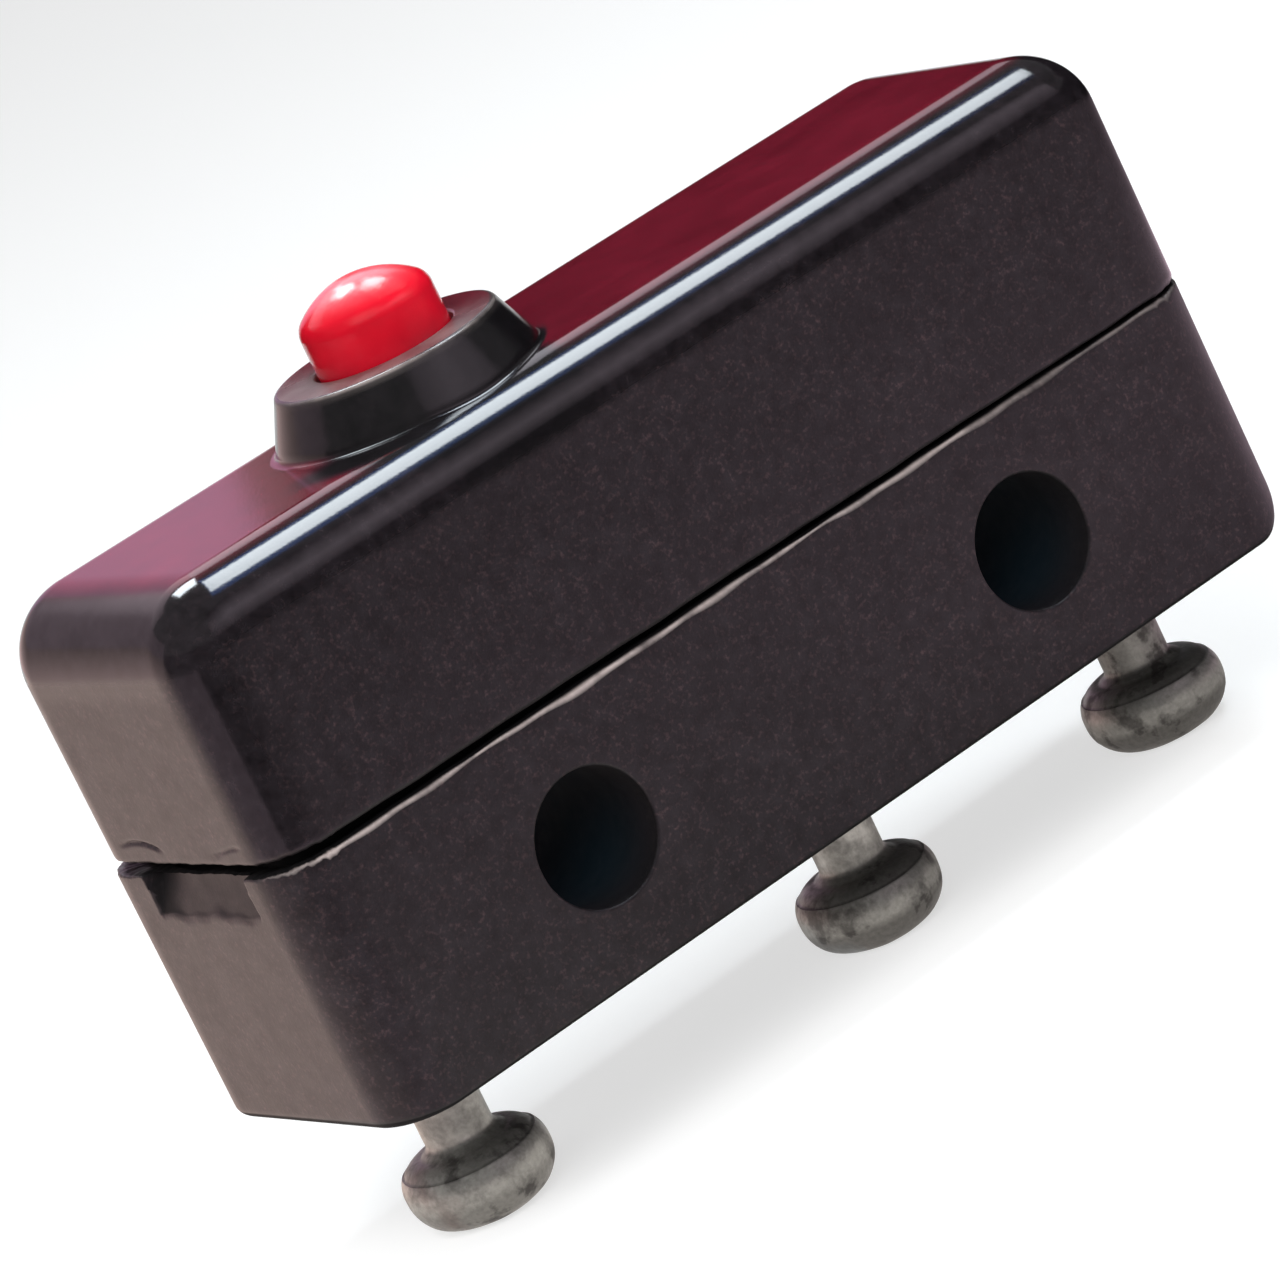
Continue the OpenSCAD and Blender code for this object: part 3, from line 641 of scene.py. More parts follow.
def pocket_sink(case, outer, half_x, pocket_low):
    """Depth of the shallow pockets: soft steps across the width, times a soft step in height, on the ends."""
    x, y, z = np.moveaxis(outer, -1, 0)
    half = case.pocket_width / 2
    ragged = 0.00002 * np.sin(z * 9000) + 0.00001 * np.sin(z * 21000 + 1)
    across = np.abs(y - case.pocket_shift)
    sides = smooth((half + ragged - across) / case.pocket_soft + 0.5)
    ragged_low = 0.2 * np.sin(y * 3700) + 0.12 * np.sin(y * 9100 + 2)
    below = smooth((z - pocket_low) / (2.4 * case.pocket_soft) + 0.5 + ragged_low)
    rise = np.clip((z - pocket_low) / case.pocket_height, 0, 1)
    corner = smooth((y * np.sign(-x) - case.pocket_shift - half + 0.0014) / 0.0014)
    scoop = (0.2 + 0.8 * rise) * (1 + 0.6 * corner * rise)
    on_end = smooth((np.abs(x) - half_x + 0.0004) / 0.0003)
    return case.pocket_depth * sides * below * scoop * on_end


def flash_bump(turn, height, rim):
    """Small bead of squeezed-out moulding on one corner arc at the split: a bell along it and in height."""
    place, reach = 3.42, 0.1
    stand, below, tall = 0.00009, 0.0001, 0.00012
    along = np.exp(-((turn - place) / reach) ** 2)
    return stand * along * np.exp(-((height - rim + below) / tall) ** 2)


def mount_hole(name):
    """Place and radius of a mounting hole, in metres, from the record."""
    for mount in frame["record"]["mounts"]:
        if mount["name"] == name:
            return mount["pos_m"], mount["dims"]["r_mm"] * 0.001
    raise RuntimeError("The record has no mount named " + name)


def hole_columns(walls, half_y, hole_x):
    """Columns of the front and the back wall beside a hole, each in order of x."""
    sides = []
    for sign in (-1, 1):
        near = np.flatnonzero((np.abs(walls[:, 1] - sign * half_y) < 1e-7)
                              & (np.abs(walls[:, 0] - hole_x) < HOLE_PATCH))
        sides.append(near[np.argsort(walls[near, 0])])
    return sides


def loop_around(index, rows, side):
    """Point numbers around a patch of the wall: along the bottom, up, back along the top and down."""
    bottom, upper = rows[-1], rows[0]
    return np.concatenate([index[bottom, side[:-1]], index[rows[::-1], side[-1]][:-1],
                           index[upper, side[::-1]][:-1], index[rows, side[0]][:-1]])


def hole_band(points, loops, place, radius, flare, total):
    """Points and faces from a loop on the front wall to a round hole, through it, and out behind.

    Each loop point slides towards the circle point at its own bearing; then comes a quarter round
    edge, the straight bore, and the same again in reverse.
    """
    front, back = points[loops[0]], points[loops[1]]
    swing = np.arctan2(front[:, 2] - place[2], front[:, 0] - place[0])

    def circle(r, y):
        """Ring of the bore at a depth."""
        return np.stack([place[0] + r * np.cos(swing), np.full(len(swing), y),
                         place[2] + r * np.sin(swing)], 1)

    near, far = front[0, 1], back[0, 1]
    wide = circle(radius + flare, near)
    rings = [front + (wide - front) * part for part in (0.3, 0.6, 0.85, 0.95, 1.0)]
    angles = np.linspace(0, QUARTER, 6)[1:]
    curve = [(radius + flare * (1 - math.sin(angle)), flare * (1 - math.cos(angle))) for angle in angles]
    rings += [circle(r, near + depth) for r, depth in curve]
    rings += [circle(radius, y) for y in np.linspace(near + flare, far - flare, 8)[1:-1]]
    rings += [circle(r, far - depth) for r, depth in curve[::-1]]
    wide = circle(radius + flare, far)
    rings += [back + (wide - back) * part for part in (1.0, 0.95, 0.85, 0.6, 0.3)]
    added = np.concatenate(rings)
    count = len(swing)
    numbers = np.concatenate([loops[:1], total + np.arange(len(added)).reshape(-1, count), loops[1:]])
    outer, inner = numbers[:-1], numbers[1:]
    band = np.stack([outer, np.roll(outer, -1, 1), np.roll(inner, -1, 1), inner], -1)
    return added, band.reshape(-1, 4)


def arc(centre_r, centre_z, radius, start, stop, count):
    """Profile points on a circle about a point of the profile, from one angle to another in degrees."""
    angle = np.radians(np.linspace(start, stop, count))
    return np.stack([centre_r + radius * np.cos(angle), centre_z + radius * np.sin(angle)], 1)


def refine(profile, step):
    """The profile with extra points, so that no two are more than a step apart."""
    pace = np.hypot(*np.diff(profile, axis=0).T)
    counts = np.maximum(1, np.ceil(pace / step)).astype(int)
    pieces = [np.linspace(a, b, n, endpoint=False) for a, b, n in zip(profile, profile[1:], counts)]
    return np.concatenate(pieces + [profile[-1:]])


def turned(profile, axis, columns, uneven):
    """A profile of radius and height turned about an upright axis, with closed ends.

    uneven(angle, radius, height) gives how far each point's radius and height depart from the profile.
    """
    angle = np.linspace(0, TURN, columns, endpoint=False)[None, :]
    radius, height = profile[:, :1], profile[:, 1:]
    off_radius, off_height = uneven(angle, radius, height)
    out = radius + off_radius
    points = np.stack([axis + out * np.cos(angle), out * np.sin(angle),
                       np.broadcast_to(height + off_height, out.shape)], -1)
    index = np.arange(out.size).reshape(out.shape)
    faces = ring_faces(index).reshape(-1, 4).tolist()
    faces.append(index[0].tolist())
    faces.append(index[-1][::-1].tolist())
    return points.reshape(-1, 3), faces


def plunger_shape(button):
    """The plunger: a shallow dome, a rounded shoulder, the shaft, the flange and the nib, turned."""
    low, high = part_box("plunger")
    axis = (low.x + high.x) / 2
    shaft, nib = button.width / 2, button.nib_width / 2
    arm = shaft - button.shoulder
    dome = high.z - button.crown
    shoulder = dome + math.sqrt((button.crown - button.shoulder) ** 2 - arm ** 2)
    meet = math.degrees(math.atan2(shoulder - dome, arm))
    flange, flange_low = button.flange_width / 2, button.flange_top - button.flange_height
    nib_bevel = 0.00005
    profile = np.concatenate([
        arc(0, dome, button.crown, 89.2, meet, 10),
        arc(arm, shoulder, button.shoulder, meet, 0, 20)[1:],
        [[shaft, button.flange_top], [flange, button.flange_top], [flange, flange_low],
         [nib, flange_low], [nib, low.z + nib_bevel], [nib - nib_bevel, low.z], [AXIS_GAP, low.z]],
    ])
    profile = refine(profile, 0.00008)

    def uneven(angle, radius, height):
        """Slow waves round the dome and the shaft that shows, none at the axis."""
        seen = smooth((height - high.z + 0.0012) / 0.0005)
        wave = np.sin(2 * angle + 0.7) + 0.6 * np.sin(3 * angle + 2.1 + 2500 * height)
        away = smooth(radius / shaft)
        off_height = -button.dent * seen * away * (1 + np.sin(2 * angle + 1.2)) * 0.8
        return -button.dent * 0.5 * seen * away * (1.6 + wave) / 2, off_height

    points, faces = turned(profile, axis, 128, uneven)
    marks = np.zeros((len(points), len(SURFACE_MARKS)))
    # Painted highlight: paler towards the top of the dome
    marks[:, CROWN] = smooth((points[:, 2] - shoulder) / (high.z - shoulder) * 2 - 0.75)
    boss_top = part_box("cover_housing")[1].z
    # Painted shade where the plunger meets the boss
    marks[:, WEAR_AND_PAINTED_LIGHT] = smooth((boss_top + 0.0005 - points[:, 2]) / 0.0007)
    return points, marks, faces


def terminal_shape(post, node, phase, darkened, stem_darkened):
    """A terminal post: rivet, tenon, collar and stem, then the head with its slope and rounds, turned.

    The last two numbers set how dark the head and the stem are made, from 0 to 1; the head's number also
    scales the painted shade on its top and underside.
    """
    low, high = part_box(node)
    axis = (low.x + high.x) / 2
    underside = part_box("base_housing")[0].z
    floor = bpy.context.scene.switch_case.cavity_floor
    stem, head = post.stem_width / 2, post.head_width / 2
    rivet, tenon, collar = post.rivet_width / 2, post.tenon_width / 2, post.collar_width / 2
    rivet_low, bevel = high.z - post.rivet_height, post.rivet_bevel
    half_collar = post.collar_height / 2
    head_top = underside - post.stem_length
    neck = post.neck_round
    slope = math.degrees(math.atan2(post.head_slope, head - post.upper_round - stem))
    upper = post.upper_round
    upper_middle = head_top - post.head_slope - upper
    step_angle = 36
    step_height = head_top - post.head_slope - upper * (1 - math.sin(math.radians(step_angle)))
    profile = np.concatenate([
        [[AXIS_GAP, high.z], [rivet - bevel, high.z], [rivet, high.z - bevel], [rivet, rivet_low],
         [tenon, rivet_low], [tenon, floor], [stem, floor], [stem, half_collar], [collar, half_collar],
         [collar, -half_collar], [stem, -half_collar], [stem, head_top + neck]],
        arc(stem + neck, head_top + neck * 0.8, neck, 180, 270 - slope, 6)[1:],
        arc(head - upper, upper_middle, upper - post.head_step, 90, step_angle + 2, 10),
        arc(head - upper, upper_middle, upper, step_angle, 0, 10),
        arc(head - post.lower_round, low.z + post.lower_round, post.lower_round, 0, -90, 16),
        [[AXIS_GAP, low.z]],
    ])
    profile = refine(profile, 0.00009)

    def uneven(angle, radius, height):
        """Waves round the stem and the head that show, and a slight tilt of the head's faces."""
        seen = smooth((underside - 0.0003 - height) / 0.0006)
        below = smooth((head_top - height) / 0.0003)
        wave = (np.sin(2 * angle + phase) + 0.7 * np.sin(3 * angle + 2 * phase + 1800 * height)
                + 0.5 * np.sin(5 * angle + 4 * phase - 3100 * height))
        rough = 0.25 * np.sin(11 * angle + 6000 * height + phase) * below
        off = -post.dent * seen * (0.35 + 0.65 * below) * (1.9 + wave + rough) / 2.2
        sag = post.dent * below * (radius / head) * np.sin(angle * 2 + 2.5 * phase) * 0.5
        lift = np.where(height - low.z < 0.0004, np.abs(sag), sag)
        return off * np.minimum(1, radius / stem), lift * np.ones_like(angle)

    points, faces = turned(profile, axis, 112, uneven)
    marks = np.zeros((len(points), len(SURFACE_MARKS)))
    height = points[:, 2]
    bearing = np.arctan2(points[:, 1], points[:, 0] - axis)
    # Painted shade: the head's top darker, more on one side, and its underside darker; each post's numbers
    # darken head and stem as a whole
    on_top = smooth((head_top + 0.0001 - height) / 0.0002) * (height > step_height - 0.00001)
    shaded = 0.45 + 0.55 * smooth(0.5 + 0.8 * np.cos(bearing + 0.9))
    under = smooth((step_height - 0.0003 - height) / 0.0003)
    everywhere = stem_darkened + (darkened - stem_darkened) * smooth((head_top - height) / 0.0002)
    marks[:, WEAR_AND_PAINTED_LIGHT] = np.maximum(np.maximum(on_top * shaded, under) * (0.45 + darkened), everywhere)
    return points, marks, faces


def add(tree, kind, inputs=None, **settings):
    """A new node with its settings, and its inputs given as plain values or linked sockets."""
    made = tree.nodes.new(kind)
    for key, value in settings.items():
        setattr(made, key, value)
    for key, value in (inputs or {}).items():
        if isinstance(value, bpy.types.NodeSocket):
            tree.links.new(value, made.inputs[key])
        else:
            made.inputs[key].default_value = value
    return made


class Finish:
    """A procedural material on Object coordinates, with short words for the nodes it is made of."""

    def __init__(self, name, **fixed):
        self.material = bpy.data.materials.new(name)
        self.material.use_nodes = True
        self.tree = self.material.node_tree
        self.tree.nodes.clear()
        self.shader = add(self.tree, "ShaderNodeBsdfPrincipled", fixed)
        out = add(self.tree, "ShaderNodeOutputMaterial", {"Surface": self.shader.outputs[0]})
        out.target = "ALL"
        self.place = add(self.tree, "ShaderNodeTexCoord").outputs["Object"]

    def noise(self, scale, detail=3.0, rough=0.55, stretch=None):
        """Noise with so many waves in a metre, stretched along an axis if asked."""
        place = self.place
        if stretch:
            place = add(self.tree, "ShaderNodeMapping", {"Vector": place, "Scale": stretch}).outputs[0]
        made = add(self.tree, "ShaderNodeTexNoise", {
            "Vector": place, "Scale": scale, "Detail": detail, "Roughness": rough})
        return made.outputs["Fac"]

    def mark(self, name):
        """A value stored on the mesh's points, from 0 to 1, for a finish or for painted light and shade."""
        return add(self.tree, "ShaderNodeAttribute", attribute_name=name).outputs["Fac"]

    def ramp(self, value, low, high, bottom=0.0, top=1.0):
        """A value taken from one range to another, held at both ends."""
        made = add(self.tree, "ShaderNodeMapRange", {
            "Value": value, "From Min": low, "From Max": high, "To Min": bottom, "To Max": top})
        return made.outputs[0]

    def vary(self, noise, bottom, top):
        """A noise's middle part taken from one value to another."""
        return self.ramp(noise, 0.3, 0.7, bottom, top)

    def times(self, first, second, operation="MULTIPLY"):
        """Two values multiplied, or joined by another operation."""
        made = add(self.tree, "ShaderNodeMath", {0: first, 1: second}, operation=operation)
        return made.outputs[0]

    def blend(self, part, first, second):
        """A mix of two colours by a part from 0 to 1."""
        colours = [value if isinstance(value, bpy.types.NodeSocket) else (*value, 1.0)
                   for value in (first, second)]
        made = add(self.tree, "ShaderNodeMix", {0: part, 6: colours[0], 7: colours[1]}, data_type="RGBA")
        return made.outputs[2]

    def shaded(self, tint, value):
        """A colour made brighter or darker by a factor."""
        return add(self.tree, "ShaderNodeHueSaturation", {"Color": tint, "Value": value}).outputs[0]

    def bump(self, height, strength, distance):
        """A bump normal from a height."""
        made = add(self.tree, "ShaderNodeBump", {
            "Height": height, "Strength": strength, "Distance": distance})
        return made.outputs[0]

    def finish(self, **linked):
        """Links the shader's sockets, and gives the material back."""
        for key, value in linked.items():
            self.tree.links.new(value, self.shader.inputs[key.replace("_", " ")])
        return self.material


def moulding(name, case, flat_rough, edge_rough):
    """Dark moulded plastic: plum with brown and black specks, red-brown where crowned (partly a painted
    reflection), paler at abraded edges and painted highlights, dark in painted shade.
    """
    f = Finish(name, IOR=1.5)
    specks, grains, clouds = f.noise(13000, 2), f.noise(21000, 2), f.noise(800, 4, 0.6)
    gloss = f.mark("gloss")
    speckled = f.ramp(gloss, 0.0, 0.8, 1.0, 0.15)
    mottle = f.noise(3600, 3, 0.6)
    crown, painted_shade = f.mark("crown"), f.mark("painted_shade")
    brown_part = f.times(speckled, f.ramp(specks, 0.53, 0.74))
    coal_part = f.times(speckled, f.ramp(grains, 0.5, 0.7, 0.0, 0.8))
    tint = f.blend(brown_part, case.plum, case.brown)
    tint = f.blend(coal_part, tint, case.coal)
    tint = f.shaded(tint, f.vary(mottle, 0.6, 1.4))
    tint = f.shaded(tint, f.vary(clouds, 0.8, 1.22))
    # Red-brown where crowned: partly the moulding's colour, partly a painted reflection
    red = f.shaded(f.blend(f.ramp(specks, 0.45, 0.75, 0.0, 0.25), case.maroon, case.plum),
                   f.vary(clouds, 0.8, 1.2))
    tint = f.blend(crown, tint, red)
    # Paler where the wear mark says: rubbing, and painted highlights on the boss's edge and the base's lip
    rubbed_and_lit = f.times(f.mark("wear_and_painted_light"), f.ramp(f.noise(1400, 4, 0.6), 0.3, 0.62, 0.25, 1.0))
    tint = f.blend(rubbed_and_lit, tint, case.worn_and_lit)
    # Painted shade: dark blue where also crowned, as deep in the mounting holes, near black elsewhere
    tint = f.blend(painted_shade, tint, f.blend(crown, case.split_shade, case.hole_shade))
    rough = f.times(f.ramp(gloss, 0.0, 1.0, flat_rough, edge_rough),
                    f.vary(f.noise(3000, 4, 0.6), 0.94, 1.07))
    rough = f.times(rough, f.ramp(painted_shade, 0.6, 1.0, 1.0, 2.2))
    height = f.times(f.times(specks, 0.6), grains, "ADD")
    normal = f.bump(height, f.ramp(gloss, 0.0, 1.0, 0.12, 0.03), 0.00002)
    return f.finish(Base_Color=tint, Roughness=rough, Normal=normal)


def red_plastic(name, button):
    """Glossy red plastic with a painted pale highlight on the dome, painted shade where it meets the boss,
    fine scratches and slight flow lines.
    """
    f = Finish(name, IOR=1.5)
    sheen, grain = f.noise(1500, 4, 0.6), f.noise(14000, 2)
    # Painted highlight on the dome
    painted_sheen = f.times(f.mark("crown"), f.vary(sheen, 0.35, 0.9))
    tint = f.blend(painted_sheen, button.red, button.pink)
    # Painted shade near the boss
    tint = f.blend(f.times(f.mark("wear_and_painted_light"), f.vary(sheen, 0.3, 0.7)), tint, button.painted_foot_shade)
    tint = f.shaded(tint, f.vary(f.noise(900, 3), 0.88, 1.1))
    scratches = f.noise(5000, 3, 0.6, stretch=(1.0, 5.0, 1.0))
    rough = f.times(f.vary(f.noise(2500, 4), 0.8, 1.3), button.rough)
    normal = f.bump(f.times(f.times(scratches, 0.7), grain, "ADD"), 0.12, 0.00002)
    return f.finish(Base_Color=tint, Roughness=rough, Normal=normal)


def dull_plating(name, post):
    """Plated brass that has lost its shine: pale grey where clean, brown-grey where tarnished and where shade
    is painted, with a few stains.
    """
    f = Finish(name, Metallic=0.75, IOR=1.5)
    patch, cloud, grain = f.noise(2000, 4, 0.6), f.noise(600, 3), f.noise(12000, 3)
    # How far the plating turns to the dark colour: tarnish, and painted shade on the heads
    darkening = f.times(f.ramp(patch, 0.38, 0.64), f.ramp(f.mark("wear_and_painted_light"), 0.0, 0.5, 0.35, 0.95))
    darkening = f.times(darkening, f.ramp(f.mark("wear_and_painted_light"), 0.0, 1.0, 0.0, 0.92), "MAXIMUM")
    tint = f.blend(darkening, post.metal, post.tarnish_and_shade)
    tint = f.blend(f.ramp(cloud, 0.58, 0.72, 0.0, 0.5), tint, post.stain)
    tint = f.shaded(tint, f.vary(grain, 0.85, 1.15))
    rough = f.vary(patch, 0.36, 0.58)
    normal = f.bump(f.times(patch, f.times(grain, 0.4), "ADD"), 0.35, 0.00004)
    return f.finish(Base_Color=tint, Roughness=rough, Normal=normal)


def inner_metal(name, clean, dark, rough):
    """Bare metal inside the case: fine rolling lines along it and a little dulling."""
    f = Finish(name, Metallic=1.0)
    lines = f.noise(9000, 3, 0.6, stretch=(0.08, 1.0, 1.0))
    tint = f.blend(f.ramp(f.noise(1200, 4), 0.4, 0.7), clean, dark)
    return f.finish(Base_Color=tint, Roughness=f.vary(lines, rough * 0.8, rough * 1.3),
                    Normal=f.bump(lines, 0.15, 0.00002))


class SWITCH_OT_cover(bpy.types.Operator):
    """Make the moulded cover with its plunger boss"""
    bl_idname = "switch.cover"
    bl_label = "Cover"

    def execute(self, context):
        case = context.scene.switch_case
        piece = make_piece("moulded_cover", *cover_shape(case), SHARP_CASE)
        settle(piece, "case", "cover_housing",
               moulding("cover_moulding", case, case.cover_rough, case.edge_rough))
        return {"FINISHED"}


class SWITCH_OT_base(bpy.types.Operator):
    """Make the moulded base with its mounting holes and end pockets"""
    bl_idname = "switch.base"
    bl_label = "Base"

    def execute(self, context):
        case = context.scene.switch_case
        piece = make_piece("moulded_base", *base_shape(case), SHARP_CASE)
        settle(piece, "case", "base_housing",
               moulding("base_moulding", case, case.base_rough, case.edge_rough))
        return {"FINISHED"}


class SWITCH_OT_plunger(bpy.types.Operator):
    """Make the red plunger"""
    bl_idname = "switch.plunger"
    bl_label = "Plunger"

    def execute(self, context):
        button = context.scene.switch_plunger
        piece = make_piece("red_plunger", *plunger_shape(button), SHARP_CASE)
        settle(piece, "plunger", "plunger", red_plastic("plunger_red", button))
        return {"FINISHED"}


class SWITCH_OT_terminals(bpy.types.Operator):
    """Make the three plated terminal posts"""
    bl_idname = "switch.terminals"
    bl_label = "Terminals"

    def execute(self, context):
        post = context.scene.switch_terminal
        plating = dull_plating("dull_plating", post)
        for kind, looks in POST_LOOKS.items():
            node = kind + "_terminal"
            piece = make_piece(kind + "_post", *terminal_shape(post, node, *looks), SHARP_POST)
            settle(piece, "case", node, plating)
        return {"FINISHED"}


class SWITCH_OT_inside(bpy.types.Operator):
    """Give the metal parts inside the case their finishes"""
    bl_idname = "switch.inside"
    bl_label = "Inside metal"

    def execute(self, context):
        metal = context.scene.switch_metal
        bronze = inner_metal("spring_bronze", metal.bronze, metal.bronze_dark, 0.28)
        brass = inner_metal("strip_brass", metal.brass, metal.brass_dark, 0.32)
        silver = inner_metal("contact_silver", metal.silver, metal.silver_dark, 0.3)
        finishes = {
            bronze: ("snap_spring", "spring_spacer"),
            brass: ("anchor_bracket", "clamp_washer", "normally_open_strip", "normally_closed_bracket"),
            silver: ("moving_contact", "normally_open_contact", "normally_closed_contact"),
        }
        for material, names in finishes.items():
            for name in names:
                slots = frame["nodes"][name].data.materials
                slots.clear()
                slots.append(material)
        return {"FINISHED"}


def sheet_mesh(name, points, material):
    """Open sheet from a grid of points."""
    index = np.arange(points[..., 0].size).reshape(points.shape[:2])
    faces = np.stack([index[:-1, :-1], index[1:, :-1], index[1:, 1:], index[:-1, 1:]], -1)
    mesh = bpy.data.meshes.new(name)
    mesh.from_pydata(points.reshape(-1, 3).tolist(), [], faces.reshape(-1, 4).tolist())
    mesh.shade_smooth()
    mesh.materials.append(material)
    sheet = bpy.data.objects.new(name, mesh)
    bpy.context.scene.collection.objects.link(sheet)
    return sheet


def reflected_only(thing):
    """Leaves a card or lamp to be seen in reflections alone."""
    thing.visible_camera = False
    thing.visible_diffuse = False
    thing.visible_shadow = False
    thing.visible_transmission = False
    thing.visible_volume_scatter = False


def softbox(name, place, target, width, height, brightness, tint=WHITE):
    """Rectangular soft light of a given brightness, turned to face a point."""
    lamp = bpy.data.lights.new(name, "AREA")
    lamp.shape = "RECTANGLE"
    lamp.size, lamp.size_y = width, height
    lamp.energy = 4 * width * height * brightness
    lamp.color = tint
    box = bpy.data.objects.new(name, lamp)
    aim = (Vector(target) - Vector(place)).to_track_quat("-Z", "Y").to_matrix().to_4x4()
    box.matrix_world = Matrix.Translation(place) @ aim
    box.visible_camera = False
    bpy.context.scene.collection.objects.link(box)
    return box


def light_only(lamp, pieces, state):
    """Lets a lamp light a few pieces alone, or every piece but those."""
    group = bpy.data.collections.new(lamp.name + "_reach")
    for piece in pieces:
        group.objects.link(piece)
    for member in group.collection_objects:
        member.light_linking.link_state = state
    lamp.light_linking.receiver_collection = group


def on_sky(azimuth, rise):
    """Point on the cards' sphere at an azimuth and an elevation in degrees."""
    swing, rise = math.radians(azimuth), math.radians(rise)
    return (CARD_REACH * math.cos(rise) * math.cos(swing), CARD_REACH * math.cos(rise) * math.sin(swing),
            CARD_EYE + CARD_REACH * math.sin(rise))


def floor_material(stage):
    """Pale matt floor that adds white for the eye and for reflections, and keeps its shadow."""
    material = bpy.data.materials.new("pale_floor")
    material.use_nodes = True
    tree = material.node_tree
    tree.nodes.clear()
    rays = add(tree, "ShaderNodeLightPath").outputs
    seen = rays["Is Camera Ray"]
    for name in ("Is Glossy Ray", "Is Transmission Ray"):
        seen = add(tree, "ShaderNodeMath", {0: seen, 1: rays[name]}, operation="MAXIMUM").outputs[0]
    glow = add(tree, "ShaderNodeMath", {0: seen, 1: stage.floor_glow}, operation="MULTIPLY").outputs[0]
    white = add(tree, "ShaderNodeEmission", {"Strength": glow})
    matt = add(tree, "ShaderNodeBsdfDiffuse", {"Color": (*stage.floor, 1.0)})
    both = add(tree, "ShaderNodeAddShader", {0: white.outputs[0], 1: matt.outputs[0]})
    add(tree, "ShaderNodeOutputMaterial", {"Surface": both.outputs[0]})
    return material


def sky_arc(low, high):
    """Profile of a card that stands on a sphere about the case, between two elevations in degrees."""
    rise = np.radians(np.linspace(low, high, 9))
    return np.stack([CARD_REACH * 1000 * np.cos(rise), CARD_EYE + CARD_REACH * np.sin(rise)], 1)


def glow_sheet(name, points, brightness, tint):
    """Sheet that glows in reflections alone.

    Its brightness is a row or a grid of values, spread evenly over the sheet's rows and columns.
    """
    material = bpy.data.materials.new(name)
    material.use_nodes = True
    tree = material.node_tree
    tree.nodes.clear()
    glow = add(tree, "ShaderNodeAttribute", attribute_name="glow").outputs["Fac"]
    shine = add(tree, "ShaderNodeEmission", {"Color": (*tint, 1.0), "Strength": glow})
    add(tree, "ShaderNodeOutputMaterial", {"Surface": shine.outputs[0]})
    sheet = sheet_mesh(name, points, material)
    levels = np.atleast_2d(np.asarray(brightness, float))
    for count in points.shape[1::-1]:
        place = np.linspace(0, levels.shape[1] - 1, count)
        levels = np.stack([np.interp(place, np.arange(levels.shape[1]), row) for row in levels]).T
    layer = sheet.data.attributes.new("glow", "FLOAT", "POINT")
    layer.data.foreach_set("value", np.ascontiguousarray(levels, dtype=np.float32).ravel())
    reflected_only(sheet)
    return sheet


def card(name, azimuth, profile, brightness, tint):
    """Card seen in reflections alone: a profile of radius in millimetres and height, carried round an arc.

    Its brightness runs along the arc, for the profile's start and its end.
    """
    profile = np.asarray(profile, float)
    swing = np.radians(np.linspace(*azimuth, 49))
    radius, height = profile[:, :1] * 0.001, profile[:, 1:]
    points = np.stack([radius * np.cos(swing), radius * np.sin(swing),
                       np.broadcast_to(height, (len(profile), len(swing)))], -1)
    return glow_sheet(name, points, brightness, tint)


def panel(name, height, near_edge, far_edge, brightness, tint):
    """Level card seen in reflections alone, ruled between two edges given in millimetres."""
    part = np.linspace(0, 1, 9)[:, None]
    edges = [np.array(edge[0]) + (np.array(edge[1]) - edge[0]) * part for edge in (near_edge, far_edge)]
    plan = np.stack(edges) * 0.001
    points = np.concatenate([plan, np.full(plan.shape[:2] + (1,), height)], -1)
    return glow_sheet(name, points, brightness, tint)


def surroundings(stage):
    """World that is pale at eye height and dimmer above."""
    world = bpy.data.worlds.new("studio")
    world.use_nodes = True
    tree = world.node_tree
    tree.nodes.clear()
    place = add(tree, "ShaderNodeTexCoord").outputs["Generated"]
    height = add(tree, "ShaderNodeSeparateXYZ", {0: place}).outputs["Z"]
    glow = add(tree, "ShaderNodeMapRange", {
        "Value": height, "From Min": 0.1, "From Max": 0.22, "To Min": stage.horizon, "To Max": stage.sky})
    shade = add(tree, "ShaderNodeBackground", {"Strength": glow.outputs[0]})
    add(tree, "ShaderNodeOutputWorld", {"Surface": shade.outputs[0]})
    return world


def place_camera(stage):
    """Camera with the photograph's place, turn and lens."""
    right, up = Vector(stage.camera_right).normalized(), Vector(stage.camera_up)
    back = right.cross(up).normalized()
    up = back.cross(right)
    turn = Matrix((right, up, back)).transposed().to_4x4()
    camera = bpy.data.objects.new("camera", bpy.data.cameras.new("camera"))
    camera.matrix_world = Matrix.Translation(stage.camera_place) @ turn
    camera.data.lens = stage.lens
    camera.data.sensor_width = SENSOR_WIDTH
    camera.data.clip_start = 0.001
    camera.data.clip_end = 20
    bpy.context.scene.collection.objects.link(camera)
    bpy.context.scene.camera = camera


